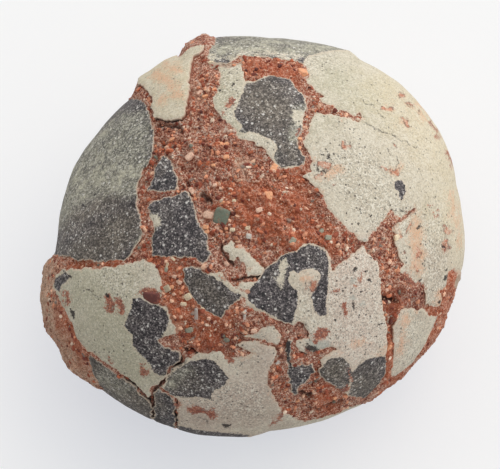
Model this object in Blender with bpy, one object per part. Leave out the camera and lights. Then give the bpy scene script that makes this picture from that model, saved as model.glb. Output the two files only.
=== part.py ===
"""A fossil dinosaur egg: one stone of eggshell plates fused to the sandstone that fills the gaps.

The egg lies on its side, a little flattened, and rests on a small flat spot. Plates of shell
stand proud of the sandstone by a low ledge. Blender 4.5, metres, +Z up, the origin at the
middle of the footprint on the surface that the egg rests on.

The outlines of the plates are drawn in millimetres on an upright sheet through the egg's
middle, looked at along a line of sight from high above its front. What lies behind the rim
that this line of sight gives the egg is drawn in degrees: the turn round the line of sight,
and the angle away from it.
"""

import math
import random

import bmesh
import bpy
import numpy as np
from mathutils import Vector, noise
from mathutils.geometry import delaunay_2d_cdt

MM = 0.001

# The body: a ball flattened from above and below, in millimetres
HALF_WIDTH = 70.5               # along X
HALF_DEPTH = 70.0               # along Y
CROWN_RISE = 54.0               # from the widest level up to the crown
BELLY_DROP = 43.0               # from the widest level down to the underside
REST_HEIGHT = 39.6              # the widest level above the flat spot that the egg rests on
MIDDLE = (0.21, -1.66)           # the body's middle from the middle of the footprint, X and Y

# The surface, in millimetres
PLATE_STEP = 1.2                # how far the shell plates stand above the sandstone
OVERLAP_STEP = 1.3              # how far the plate at the upper left rides above its neighbour
SWELL = 0.45                    # slow swells of the whole surface
GRIT = 1.0                      # lumps and pits of the sandstone between the plates
SHELL_DIMPLE = 0.12             # the same on a shell plate
GRIT_SIZE = 5.0                 # across one lump
PLATE_GRID = 6.6                # between mesh points on shell
SANDSTONE_GRID = 3.3            # between mesh points on sandstone
EDGE_CLEARANCE = 1.3            # from a plate's edge to the nearest other mesh point

# The line of sight that the outlines are drawn along
SIGHT_TILT = math.radians(65.0)     # above the horizon, over the egg's front
SIGHT_DISTANCE = 650.0              # from the eye to the sheet
SHEET_MIDDLE = (1.2, -1.4)          # where the body's middle falls on the sheet
FAR_LIMIT = math.radians(178.0)     # the last mesh point, well inside the flat spot

RIGHT = np.array([1.0, 0.0, 0.0])
UP = np.array([0.0, math.sin(SIGHT_TILT), math.cos(SIGHT_TILT)])
TOWARD_EYE = np.array([0.0, -math.cos(SIGHT_TILT), math.sin(SIGHT_TILT)])
SIGHT_TO_WORLD = np.array([RIGHT, UP, TOWARD_EYE])

# The egg's rim on the sheet, clockwise from the crust at the top. Between two points the
# distance from the middle changes evenly, so a round stretch needs few of them.
RIM = [
    (-15.0, 66.8), (-12.7, 65.8), (-6.7, 66.2), (6.7, 65.5), (20.0, 64.2), (33.3, 61.2),
    (36.7, 58.2), (50.0, 50.2), (56.7, 43.2), (62.7, 34.8), (66.7, 26.5), (68.7, 16.5),
    (70.7, 6.5), (71.7, -5.2), (70.0, -14.5), (67.3, -22.5), (64.7, -29.2), (60.7, -36.2),
    (55.0, -42.5), (46.7, -50.5), (40.7, -55.2), (33.3, -58.5), (20.0, -63.2), (6.7, -65.5),
    (0.0, -67.5), (-6.7, -67.5), (-16.7, -66.8), (-28.3, -63.5), (-40.0, -57.8),
    (-50.0, -51.2), (-59.0, -45.8), (-63.3, -38.5), (-68.0, -31.2), (-69.7, -21.8),
    (-68.7, -13.5), (-68.0, -9.2), (-65.0, -6.5), (-64.3, -1.8), (-63.3, 6.5),
    (-61.7, 13.2), (-58.3, 23.2), (-51.3, 33.2), (-41.7, 43.5), (-39.0, 45.5),
    (-37.4, 50.7), (-32.7, 53.5), (-27.8, 57.1), (-23.6, 58.9), (-20.7, 63.8),
    (-18.3, 65.5),
]
BROAD_WAVES = 5                 # waves of the rim that shape the whole body, the rest only the rim
RIM_REACH = math.radians(13.0)  # how far the rim's own bumps reach to each side of it

# Shell plates. "seen" is drawn on the sheet; "behind", where a plate runs over the rim, goes on
# in degrees from the last seen point back to the first.
PLATES = {
    "left flank": dict(
        seen=[(-65.2, -6.6), (-60, -7.8), (-57, -8.3), (-54, -8.5), (-51, -9.3), (-45, -8.8),
              (-42, -8.3), (-40.5, -7), (-38, -4), (-36.5, -2), (-36, 0), (-36.2, 3), (-37, 6),
              (-38, 10), (-37.5, 12.5), (-38, 16), (-36.5, 19), (-36, 21.5), (-34, 24),
              (-33, 26), (-32.3, 28.5), (-32.2, 34.5), (-32.9, 37.5), (-33.7, 40), (-34.5, 42.5),
              (-36.5, 45.2), (-39.7, 45.7)],
        behind=[(131, 99), (136, 113), (146, 119), (158, 112), (171, 121), (182, 113), (187, 97)]),
    "upper left": dict(
        seen=[(-38.4, 51.4), (-38, 50.2), (-36.3, 49.4), (-34.6, 48), (-33.2, 46.6), (-32.2, 45),
              (-32.1, 43.3), (-32.2, 41), (-31.4, 38.4), (-29, 37.6), (-26, 37.2), (-22.5, 37.8),
              (-21.3, 40), (-20.8, 43), (-20.2, 46), (-20, 50), (-20, 53), (-19, 57),
              (-18.3, 58.6), (-16.6, 59.3), (-15.2, 60.8), (-15, 62.3), (-20, 62), (-22, 61.2),
              (-24.2, 59.7)],
        behind=[(113, 101), (115, 111), (121, 109), (124.5, 99)]),
    "top": dict(
        seen=[(-11, 56.1), (-10, 53), (-10.5, 50), (-11, 48), (-12.5, 46), (-12.5, 44),
              (-11.5, 42), (-8, 38), (-4.4, 34.5), (-4, 32.5), (-2, 31.5), (1, 31), (5, 28.5),
              (7, 26), (7.8, 24.5), (9.5, 22.8), (12, 22.2), (16, 22.8), (18.3, 23.3),
              (18.8, 25.5), (17.2, 27.5), (16.3, 29.5), (16, 32.3), (17.3, 33.9), (17.7, 37),
              (18.2, 40), (19, 42.8), (18.3, 45), (17.3, 47.5), (15, 49.5), (13.5, 51.8),
              (10, 52.9), (7, 53.4), (1, 51.2), (-1.7, 51.2), (-2, 54), (-3.2, 57), (-7.5, 55.8)]),
    "right": dict(
        seen=[(-12.4, 66.5), (-13.2, 63.6), (-13.7, 61), (-14.7, 59.3), (-13, 58.2),
              (-11, 57.3), (-8, 57), (-5.5, 58.2), (-3, 59.6), (4, 59.4), (12, 58.6),
              (16, 58.2), (17.7, 57), (18.9, 55.5), (19.5, 53.5), (19.3, 51), (20.7, 49.5),
              (22.2, 47.6), (24.7, 46.2), (22.8, 45.6), (24.2, 44.2), (28, 43.2), (29.3, 41.5),
              (31.2, 41.3), (35, 40), (37, 41), (38, 39), (36, 37.7), (33.5, 38.9),
              (29.5, 39.9), (24, 40.5), (21.9, 41.4), (20.9, 40), (19.5, 37), (19.9, 34.2),
              (18.2, 32.8), (18, 31), (19, 29), (20, 27), (20.7, 25), (20, 23), (20.5, 21.2),
              (17.9, 19.4), (20.5, 17.3), (22.5, 15.5), (25, 11.5), (26.5, 7.5), (29.5, 5),
              (33, 1.5), (36.3, -1.2), (38, -2.3), (39, -1.9), (40, 0), (42, 1.5), (43.5, 3),
              (46, 7), (47.2, 8.2), (48.6, 6.4), (50.5, 5.3), (53, 7.3), (55.3, 8.9),
              (53, 6.4), (50, 3.9), (47.6, 2.3), (48.5, 0), (48.3, -2.5), (49.6, -6),
              (50.4, -8.4), (51.9, -10.2), (50.4, -12.4), (51.5, -15), (53.5, -16.4),
              (57.4, -17.3), (58.5, -19.5), (58.9, -21.5), (58.8, -23.4), (61, -23.9),
              (63.4, -23.5), (64.1, -21.5), (63.7, -19), (65.4, -17), (66.1, -14.5),
              (66.2, -12.1), (67.8, -11.7), (70.6, -12.6)],
        behind=[(351, 98), (357, 109), (8, 104), (22, 111), (36, 106), (49, 112), (62, 106),
                (76, 111), (90, 107), (100.5, 103)]),
    "small wedge": dict(
        seen=[(-29, 26.2), (-27.2, 25.6), (-26, 22.8), (-24.9, 20.5), (-24.4, 16.3),
              (-25.3, 14.9), (-27, 14.3), (-30, 14.2), (-34.8, 14.7), (-33.6, 16.3),
              (-32.4, 19), (-31.5, 22.5), (-30.3, 24.8)]),
    "left of the middle": dict(
        seen=[(-29.7, 12), (-27, 12.8), (-24, 13.6), (-22, 14.4), (-20.4, 13.8), (-19.6, 12),
              (-18, 8), (-17.6, 5.8), (-16.7, 3.5), (-15.3, 1.2), (-14.3, -1), (-14.3, -3.3),
              (-13, -6.6), (-13.8, -8.3), (-15.6, -9.5), (-17.3, -9), (-18.2, -7.6),
              (-24.5, -7.7), (-28, -7.4), (-32.8, -7), (-33, -4), (-32.4, -1), (-32, 2),
              (-33.2, 5), (-34, 9), (-32.5, 11)]),
    "lower left": dict(
        seen=[(-62, -11.6), (-57, -11.8), (-54, -11.3), (-46, -11), (-43, -10.7), (-41, -9.7),
              (-36, -8.4), (-34, -8.9), (-32, -10), (-30.5, -12), (-30, -15), (-29.3, -17),
              (-29.5, -19), (-30, -21), (-31, -22.5), (-28, -25), (-27, -27), (-26, -29.5),
              (-24.6, -31.2), (-25, -33), (-29, -34.5), (-30.5, -35.5), (-29.5, -37),
              (-27.5, -38), (-23.4, -39.4), (-22.7, -40.8), (-23.5, -42.6), (-27.2, -44.6),
              (-28.1, -46.8), (-29.3, -48.7), (-30.8, -50.1), (-32.9, -50.7), (-33.4, -52.3),
              (-33.1, -53.8), (-34.2, -54.4), (-36, -52.4), (-38.5, -49.6), (-42, -47.3),
              (-46, -44.5), (-50, -41.7), (-52, -40), (-54.3, -38.8), (-57.6, -35),
              (-59.3, -30.2), (-61.3, -25.8), (-64, -21), (-65.9, -17), (-65, -13.8)]),
    "lower left flank": dict(
        seen=[(-49.2, -51.6), (-51, -48.7), (-53.5, -43.7), (-54.3, -41), (-53.4, -40.2),
              (-50, -42.9), (-46, -45.8), (-42, -48.6), (-38.3, -51.1), (-36.6, -53.6),
              (-33.8, -55.9), (-32.7, -58.6), (-31.9, -62)],
        behind=[(241, 83), (237, 96), (231, 102), (226, 96), (224, 83)]),
    "lower left splinter": dict(
        seen=[(-30.9, -62.5), (-31.6, -59), (-32.2, -55), (-32.4, -53), (-30.2, -52),
              (-28, -53.6), (-25.3, -55.1), (-24.9, -57), (-25.1, -62), (-25.2, -64.3)],
        behind=[(246.5, 83), (246, 95), (243, 96), (242.4, 83)]),
    "bottom": dict(
        seen=[(-24, -64.7), (-24.2, -62), (-24, -57), (-24.5, -54.8), (-27.5, -52.7),
              (-30.1, -50.9), (-28.4, -49.2), (-27.2, -47), (-26.3, -45), (-24, -43.8),
              (-22.3, -42.7), (-21.4, -41.4), (-17, -39.9), (-10, -39.5), (-8.3, -41.3),
              (-6.5, -41.6), (-5, -40.8), (-2.5, -40.9), (1.5, -39.9), (-0.5, -39), (-5.3, -37),
              (-3, -36.2), (1.5, -35.7), (3.7, -36.4), (8.3, -38), (8.8, -39.3), (8, -43),
              (6.5, -44.7), (6, -50), (8, -54), (10.8, -59.5), (14, -60.6), (16, -61.8),
              (18, -62.6), (23, -61.3), (29, -59.6), (33, -57.8), (37, -56.6), (38.6, -57)],
        behind=[(302, 85), (295, 95), (285, 99), (271, 104), (258, 102), (250, 95), (248.6, 84)]),
    "lower tongue": dict(
        seen=[(-2.2, -34), (2, -32.8), (3.5, -31.8), (6, -30.7), (7.9, -30.9), (8.6, -32.2),
              (10.5, -34), (10.3, -35.8), (9.5, -36.9), (6.5, -36.1), (3, -34.8)]),
    "middle": dict(
        seen=[(-22.5, -12), (-21.5, -11), (-19.5, -10.7), (-16.5, -11), (-15.3, -12.2),
              (-12, -13.4), (-10.3, -12.7), (-9, -13), (-7, -16.3), (-5.6, -17.3), (-4, -16.8),
              (-2.8, -15.9), (0.8, -16.3), (2, -15.1), (3.7, -14), (4.9, -12.6), (5.4, -11.2),
              (8, -8.8), (11, -6.4), (13, -5.9), (15.5, -5.4), (17, -4), (19.5, -2.7),
              (22, -3.3), (24.5, -4.6), (26.5, -6.5), (27.2, -9), (27.5, -12.2), (30, -10),
              (34, -6.8), (36, -5), (38, -4.1), (40.7, -7.2), (42.7, -9.8), (43.3, -13.5),
              (43.7, -18.5), (44.3, -23.5), (45.3, -27.8), (46, -37), (45.5, -41),
              (45.5, -46), (44.2, -48.5), (40.9, -52.3), (38.3, -55), (34, -54.4), (30, -51.8),
              (28.5, -51.3), (25, -49), (23.6, -47.4), (23.2, -45.5), (24.2, -44), (24, -42),
              (25.5, -40.3), (28.8, -38.5), (27.5, -37.8), (21.5, -39.5), (18.5, -39.7),
              (16.5, -39), (15.6, -37.3), (15.9, -35.8), (19.5, -34.6), (20, -33.5),
              (17.8, -30.3), (16.5, -29.4), (13.5, -30.2), (11, -29.6), (6, -27), (2, -25.7),
              (0.5, -24.4), (-1, -24), (-1.8, -21.5), (-2.6, -20.9), (-6, -23.5), (-8.5, -26.5),
              (-9.5, -28.2), (-11, -27.3), (-15, -25.5), (-16.5, -24), (-18.5, -22),
              (-21.3, -17.5), (-22, -15)]),
    "hooked sliver": dict(
        seen=[(11.9, -36), (13.2, -34.8), (14.6, -35.3), (13.3, -36.8), (13.9, -41),
              (13.4, -42.5), (14.2, -43.7), (19, -43.7), (20.5, -43.4), (22.1, -45.8),
              (18, -49.4), (16.5, -51.3), (15.8, -53), (14.8, -54), (13.2, -49.5),
              (12.4, -44), (12.2, -40)]),
    "lower right": dict(
        seen=[(49.9, -25.4), (48.1, -31), (47.9, -37), (47.6, -43), (46.9, -46.3), (47.3, -47.8),
              (50.5, -46), (54, -43), (57, -39.3), (60.8, -31.5), (62.6, -27.4), (60, -26.9),
              (58.7, -25.2), (54, -24.7), (51.5, -24.6)]),
    "chip in the middle": dict(
        seen=[(-8.8, -3.6), (-6.5, -2), (-5.1, -2.8), (-4.8, -4.3), (-1.2, -5.3), (1.2, -8.5),
              (4.2, -11.4), (3.9, -12.6), (1, -14.2), (-0.7, -14.1), (-1.6, -12.8),
              (-1.6, -11), (-4.1, -8), (-5.5, -8.8), (-7, -8.4), (-7, -6.5), (-8.6, -5.2)]),
    # The rest lies behind the rim
    "back": dict(behind=[(78, 117), (96, 113), (110, 121), (107, 138), (88, 147), (71, 139)]),
    "back right": dict(behind=[(25, 119), (46, 117), (66, 114), (68, 128), (55, 143), (32, 139)]),
    "back left": dict(behind=[(116, 112), (132, 121), (147, 125), (141, 143), (118, 146)]),
    "right flank": dict(behind=[(337, 106), (351, 113), (8, 112), (18, 120), (14, 134), (350, 137),
                                (335, 124)]),
    "left under": dict(behind=[(156, 127), (178, 126), (192, 117), (205, 122), (198, 137),
                               (168, 141)]),
    "left edge": dict(behind=[(194, 101), (205, 98), (217, 101), (214, 113), (201, 112)]),
    "front right": dict(behind=[(309, 92), (324, 94), (331, 104), (322, 112), (308, 106)]),
}
OVERLAPPING = ["upper left"]    # plates that ride above their neighbours
BEHIND_PIECE = 5.0              # degrees between the points of a plate's edge behind the rim
BEHIND_RAGGED = 0.9             # degrees that this edge wanders


def unit(vectors):
    return vectors / np.linalg.norm(vectors, axis=-1, keepdims=True)


def from_angles(turn, away):
    """Directions, in the axes of the line of sight, from the turn round it and the angle away."""
    turn, away = np.broadcast_arrays(turn, away)
    return np.stack([np.sin(away) * np.cos(turn), np.sin(away) * np.sin(turn), np.cos(away)], -1)


def to_angles(directions):
    away = np.arccos(np.clip(directions[..., 2], -1.0, 1.0))
    return np.arctan2(directions[..., 1], directions[..., 0]) % math.tau, away


def smooth_step(low, high, value):
    t = np.clip((value - low) / (high - low), 0.0, 1.0)
    return t * t * (3.0 - 2.0 * t)


def ball_radius(directions):
    """Distance from the middle to the flattened ball, along directions in the sight's axes."""
    world = directions @ SIGHT_TO_WORLD
    half_height = np.where(world[..., 2] > 0.0, CROWN_RISE, BELLY_DROP)
    half_sizes = np.stack([np.full_like(half_height, HALF_WIDTH),
                           np.full_like(half_height, HALF_DEPTH), half_height], -1)
    return 1.0 / np.linalg.norm(world / half_sizes, axis=-1)


def rim_of_ball(turns):
    """How wide the ball looks along each turn, and the angle away at which its rim lies."""
    away = np.radians(np.linspace(40.0, 120.0, 321))
    directions = from_angles(turns[:, None], away[None, :])
    radius = ball_radius(directions)
    nearness = SIGHT_DISTANCE / (SIGHT_DISTANCE - radius * np.cos(away))
    width = radius * np.sin(away) * nearness
    best = width.argmax(axis=1)
    return width[np.arange(len(turns)), best], away[best]


def rim_gains():
    """How much wider the rim is than the ball's, split in the body's share and the rim's own."""
    offsets = np.array(RIM) - SHEET_MIDDLE
    turns = np.arctan2(offsets[:, 1], offsets[:, 0]) % math.tau
    order = turns.argsort()
    wanted = np.interp(TURNS, turns[order], np.linalg.norm(offsets, axis=1)[order],
                       period=math.tau)
    width, away = rim_of_ball(TURNS)
    gain = wanted / width - 1.0
    waves = np.fft.rfft(gain)
    waves[BROAD_WAVES + 1:] = 0.0
    broad = np.fft.irfft(waves, len(gain))
    return broad, gain - broad, away


TURNS = np.radians(np.arange(0.0, 360.0, 1.0))
BROAD_GAIN, OWN_GAIN, RIM_AWAY = rim_gains()


def rim_share(directions):
    """1 on the rim, fading to 0 on both sides of it."""
    turn, away = to_angles(directions)
    return np.exp(-((away - np.interp(turn, TURNS, RIM_AWAY, period=math.tau)) / RIM_REACH) ** 2)


def skin_radius(directions):
    """Distance from the middle to the outer skin: the ball, its broad shape and its rim."""
    turn, away = to_angles(directions)
    rim_away, broad, own = (np.interp(turn, TURNS, values, period=math.tau)
                            for values in (RIM_AWAY, BROAD_GAIN, OWN_GAIN))
    body_share = (smooth_step(0.1, 0.8, away / rim_away)
                  * smooth_step(1.3, 0.5, away - rim_away))
    own_share = rim_share(directions)
    x, y, w = directions[..., 0], directions[..., 1], directions[..., 2]
    swell = SWELL * (np.sin(7.0 * x + 3.0 * w + 0.6) * np.cos(6.0 * y - 2.0 * x)
                     + 0.7 * np.sin(11.0 * y + 5.0 * w + 1.9) * np.cos(9.0 * x - 1.0))
    swell *= 1.0 - 0.8 * own_share
    return ball_radius(directions) * (1.0 + broad * body_share + own * own_share) + swell


def from_sheet(points):
    """Directions from the egg's middle to where the sight lines through points meet the skin."""
    eye = np.array([-SHEET_MIDDLE[0], -SHEET_MIDDLE[1], SIGHT_DISTANCE])
    sheet = np.column_stack([np.array(points) - SHEET_MIDDLE, np.zeros(len(points))])
    along = sheet - eye
    closest = -(along @ eye) / (along * along).sum(axis=1)
    low, high = np.full(len(points), 0.8), closest
    for _ in range(40):
        middle = (low + high) / 2.0
        place = eye + along * middle[:, None]
        outside = np.linalg.norm(place, axis=1) > skin_radius(unit(place))
        low, high = np.where(outside, middle, low), np.where(outside, high, middle)
    return unit(eye + along * high[:, None])


def ragged_run(corners, closed, seed):
    """A plate's edge behind the rim: its corners in degrees, with wandering points between."""
    wander = random.Random(seed)
    pairs = list(zip(corners, corners[1:] + corners[:1]))
    if not closed:
        pairs = pairs[:-1]
    angles = []
    for (turn, away), (next_turn, next_away) in pairs:
        turn_step = (next_turn - turn + 180.0) % 360.0 - 180.0
        length = math.hypot(turn_step * math.sin(math.radians(away)), next_away - away)
        count = max(1, round(length / BEHIND_PIECE))
        for i in range(count):
            shift = BEHIND_RAGGED * wander.uniform(-1.0, 1.0) if i else 0.0
            angles.append((turn + turn_step * i / count + shift,
                           away + (next_away - away) * i / count + shift))
    if not closed:
        angles.append(corners[-1])
    angles = np.radians(np.array(angles))
    return from_angles(angles[:, 0], angles[:, 1])


def plate_edge(name, number):
    plate = PLATES[name]
    runs = []
    if "seen" in plate:
        runs.append(from_sheet(plate["seen"]))
    if "behind" in plate:
        runs.append(ragged_run(plate["behind"], "seen" not in plate, number))
    edge = np.concatenate(runs)
    x, y = to_chart(edge).T
    clockwise = (x * np.roll(y, -1) - y * np.roll(x, -1)).sum() < 0.0
    return edge[::-1] if clockwise else edge


def to_chart(directions):
    """The flat chart that the mesh is laid out on: shapes keep their angles on it."""
    return directions[..., :2] / (1.0 + directions[..., 2:])


def from_chart(points):
    square = (points * points).sum(axis=1, keepdims=True)
    return np.hstack([2.0 * points, 1.0 - square]) / (1.0 + square)


def inside(points, polygon):
    """Which chart points lie inside a closed outline on the chart."""
    within = np.zeros(len(points), bool)
    for (ax, ay), (bx, by) in zip(polygon, np.roll(polygon, -1, axis=0)):
        crosses = (ay > points[:, 1]) != (by > points[:, 1])
        rise = by - ay if by != ay else 1.0
        within ^= crosses & (points[:, 0] < ax + (points[:, 1] - ay) / rise * (bx - ax))
    return within


def spiral_points(spacing):
    """Directions spread evenly over a ball, about spacing apart on the egg."""
    mean_radius = (HALF_WIDTH * HALF_DEPTH * (CROWN_RISE + BELLY_DROP) / 2.0) ** (1.0 / 3.0)
    count = round(4.0 * math.pi * mean_radius ** 2 / (spacing ** 2 * math.sqrt(3.0) / 2.0))
    i = np.arange(count) + 0.5
    away = np.arccos(1.0 - 2.0 * i / count)
    turn = math.pi * (1.0 + math.sqrt(5.0)) * i
    return from_angles(turn, away)[away < FAR_LIMIT]


def distance_to_edges(directions, edges):
    """Rough distance in mm from each direction to the nearest plate edge."""
    nearest = np.full(len(directions), np.inf)
    radius = skin_radius(directions)
    for edge in edges:
        for start, end in zip(edge, np.roll(edge, -1, axis=0)):
            along = end - start
            share = np.clip((directions - start) @ along / (along @ along), 0.0, 1.0)
            gap = np.linalg.norm(directions - start - share[:, None] * along, axis=1) * radius
            nearest = np.minimum(nearest, gap)
    return nearest


def height_above_skin(directions, on_shell):
    """Sandstone lies a step below the skin, in lumps and pits, and swells up to it on the rim."""
    size = GRIT_SIZE / HALF_WIDTH
    rough = 1.4 * np.array([noise.noise(Vector(d) / size)
                            + 0.5 * noise.noise(Vector(d) / size * 2.3) for d in directions])
    shell = SHELL_DIMPLE * rough
    sandstone = GRIT * rough + PLATE_STEP * rim_share(directions)
    return np.where(on_shell, shell, sandstone) - PLATE_STEP


def chart_mesh():
    """Points and triangles of the whole egg, with the plates that each triangle lies in."""
    names = list(PLATES)
    edges = [plate_edge(name, number) for number, name in enumerate(names)]
    outlines = [to_chart(edge) for edge in edges]
    coarse, fine = spiral_points(PLATE_GRID), spiral_points(SANDSTONE_GRID)
    kept = []
    for points, wanted in ((coarse, True), (fine, False)):
        chart = to_chart(points)
        on_shell = np.any([inside(chart, outline) for outline in outlines], axis=0)
        clear = distance_to_edges(points, edges) > EDGE_CLEARANCE
        kept.append(points[(on_shell == wanted) & clear])
    directions = np.concatenate(edges + kept)
    faces, start = [], 0
    for edge in edges:
        faces.append(list(range(start, start + len(edge))))
        start += len(edge)
    chart = [Vector(point) for point in to_chart(directions)]
    points, _, triangles, _, _, owners = delaunay_2d_cdt(chart, [], faces, 0, 1e-6, True)
    return names, from_chart(np.array([tuple(p) for p in points])), triangles, owners


def raise_plates(mesh, faces, step):
    """Lift some faces straight out from the egg's middle, with upright walls round them."""
    lifted = bmesh.ops.extrude_face_region(mesh, geom=faces)["geom"]
    bmesh.ops.delete(mesh, geom=faces, context="FACES")
    for vertex in (item for item in lifted if isinstance(item, bmesh.types.BMVert)):
        vertex.co += vertex.co.normalized() * step


def close_chart(mesh):
    """Fill the hole that the chart's outer edge leaves, far under the egg."""
    rim = [edge for edge in mesh.edges if edge.is_boundary]
    filled = bmesh.ops.contextual_create(mesh, geom=rim)["faces"]
    bmesh.ops.triangulate(mesh, faces=filled)


def wear_flat_spot(mesh):
    """Press everything that reaches below the resting level up to it."""
    for vertex in mesh.verts:
        vertex.co.z = max(vertex.co.z, -REST_HEIGHT)


def build_egg():
    names, directions, triangles, owners = chart_mesh()
    on_shell = np.zeros(len(directions), bool)
    for triangle, owner in zip(triangles, owners):
        if owner:
            on_shell[list(triangle)] = True
    distance = skin_radius(directions) + height_above_skin(directions, on_shell)
    world = directions @ SIGHT_TO_WORLD * distance[:, None]
    mesh = bmesh.new()
    plate_of = mesh.faces.layers.int.new("plate")
    vertices = [mesh.verts.new(place) for place in world]
    faces = [mesh.faces.new([vertices[i] for i in triangle]) for triangle in triangles]
    for face, owner in zip(faces, owners):
        face[plate_of] = owner[0] + 1 if owner else 0
    close_chart(mesh)
    raise_plates(mesh, [face for face in mesh.faces if face[plate_of]], PLATE_STEP)
    riding = {names.index(name) + 1 for name in OVERLAPPING}
    tops = [face for face in mesh.faces if face[plate_of] in riding and not face_is_wall(face)]
    raise_plates(mesh, tops, OVERLAP_STEP)
    wear_flat_spot(mesh)
    bmesh.ops.delete(mesh, geom=[v for v in mesh.verts if not v.link_faces], context="VERTS")
    bmesh.ops.recalc_face_normals(mesh, faces=mesh.faces)
    for vertex in mesh.verts:
        vertex.co = (vertex.co + Vector((MIDDLE[0], MIDDLE[1], REST_HEIGHT))) * MM
    return mesh


def face_is_wall(face):
    """True for the walls of a ledge, which run straight out from the egg's middle."""
    return abs(face.normal.dot(face.calc_center_median().normalized())) < 0.3


def stone_material():
    material = bpy.data.materials.new("egg stone")
    material.use_nodes = True
    shader = material.node_tree.nodes["Principled BSDF"]
    shader.inputs["Base Color"].default_value = (0.43, 0.36, 0.28, 1.0)
    shader.inputs["Roughness"].default_value = 0.85
    shader.inputs["Metallic"].default_value = 0.0
    return material


def main():
    for item in list(bpy.data.objects):
        bpy.data.objects.remove(item, do_unlink=True)
    mesh = build_egg()
    data = bpy.data.meshes.new("fossil_egg")
    mesh.to_mesh(data)
    mesh.free()
    data.materials.append(stone_material())
    egg = bpy.data.objects.new("fossil_egg", data)
    bpy.context.collection.objects.link(egg)


main()
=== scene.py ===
# %% [markdown]
# # A fossil dinosaur egg
#
# The real thing is one heavy stone. Long ago sand filled a round egg, the shell broke, and
# everything turned to rock. Grey plates of shell are still fused to the red sandstone, and a
# pale crust covers most of them. The solid of the egg is already made and fixed. This script
# gives it its looks: a much finer skin with crisp ledges, the colours of crust, bare shell and
# sandstone, and thousands of sand grains. Every length is in millimetres until the last moment.

import math
import random

import bmesh
import bpy
import numpy as np
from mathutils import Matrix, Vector, kdtree, noise
from mathutils.geometry import delaunay_2d_cdt


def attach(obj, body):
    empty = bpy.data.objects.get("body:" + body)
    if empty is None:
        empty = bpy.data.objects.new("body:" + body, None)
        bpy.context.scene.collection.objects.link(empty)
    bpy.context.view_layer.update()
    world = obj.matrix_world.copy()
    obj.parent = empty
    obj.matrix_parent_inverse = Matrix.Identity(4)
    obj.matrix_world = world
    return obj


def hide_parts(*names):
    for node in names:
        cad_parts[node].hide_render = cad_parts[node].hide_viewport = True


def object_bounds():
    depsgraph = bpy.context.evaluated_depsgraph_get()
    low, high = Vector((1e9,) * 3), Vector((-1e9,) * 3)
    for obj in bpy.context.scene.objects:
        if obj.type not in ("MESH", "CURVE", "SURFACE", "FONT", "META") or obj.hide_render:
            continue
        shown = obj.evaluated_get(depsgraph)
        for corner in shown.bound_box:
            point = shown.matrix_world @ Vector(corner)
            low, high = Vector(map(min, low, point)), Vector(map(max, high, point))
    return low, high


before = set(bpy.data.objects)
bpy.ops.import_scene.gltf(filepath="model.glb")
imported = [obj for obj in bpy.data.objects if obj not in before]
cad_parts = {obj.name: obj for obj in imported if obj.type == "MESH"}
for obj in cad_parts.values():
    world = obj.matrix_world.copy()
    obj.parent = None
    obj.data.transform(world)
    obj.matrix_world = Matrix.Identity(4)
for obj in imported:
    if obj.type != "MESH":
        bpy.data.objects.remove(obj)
MM = 0.001
SOLID_BOX = [list(corner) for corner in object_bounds()]
print("solid, mm:", [round((high - low) / MM, 1) for low, high in zip(*SOLID_BOX)])

# %% [markdown]
# ## The shape under everything
#
# An egg like this is nearly a ball, pressed flatter by the rock that lay on it. A subdivided
# sphere could be sculpted by hand, but a formula is exact and can be asked for its height
# anywhere: a flattened ball, widened or narrowed at each turn until its rim follows the real
# rim. The same formula shaped the solid, so the fine skin lies exactly on it.

# %% Sizes of the body
HALF_WIDTH = 70.5               # along X
HALF_DEPTH = 70.0               # along Y
CROWN_RISE = 54.0               # from the widest level up to the crown
BELLY_DROP = 43.0               # from the widest level down to the underside
REST_HEIGHT = 39.6              # the widest level above the flat spot that the egg rests on
MIDDLE = (0.21, -1.66)          # the body's middle from the middle of the footprint, X and Y
OVERLAP_STEP = 1.3              # how far the plate at the upper left rides above its neighbour
SWELL = 0.45                    # slow swells of the whole surface
print("body before it is worn, mm:", 2 * HALF_WIDTH, 2 * HALF_DEPTH, CROWN_RISE + BELLY_DROP)

# %% [markdown]
# ## The line of sight
#
# Outlines are easiest to draw on a flat sheet, so the plates and every mark on them are drawn
# in millimetres on a sheet through the egg's middle, looked at from high above its front. To
# put a drawn point on the egg, a straight line runs from the eye through the sheet to the skin.

# %% The sheet and the eye
SIGHT_TILT = math.radians(65.0)     # above the horizon, over the egg's front
SIGHT_DISTANCE = 650.0              # from the eye to the sheet
SHEET_MIDDLE = (1.2, -1.4)          # where the body's middle falls on the sheet
RIGHT = np.array([1.0, 0.0, 0.0])
UP = np.array([0.0, math.sin(SIGHT_TILT), math.cos(SIGHT_TILT)])
TOWARD_EYE = np.array([0.0, -math.cos(SIGHT_TILT), math.sin(SIGHT_TILT)])
SIGHT_TO_WORLD = np.array([RIGHT, UP, TOWARD_EYE])
EYE = np.array([-SHEET_MIDDLE[0], -SHEET_MIDDLE[1], SIGHT_DISTANCE])    # from the body's middle
print("the eye looks down at", round(math.degrees(SIGHT_TILT)), "degrees")

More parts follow.
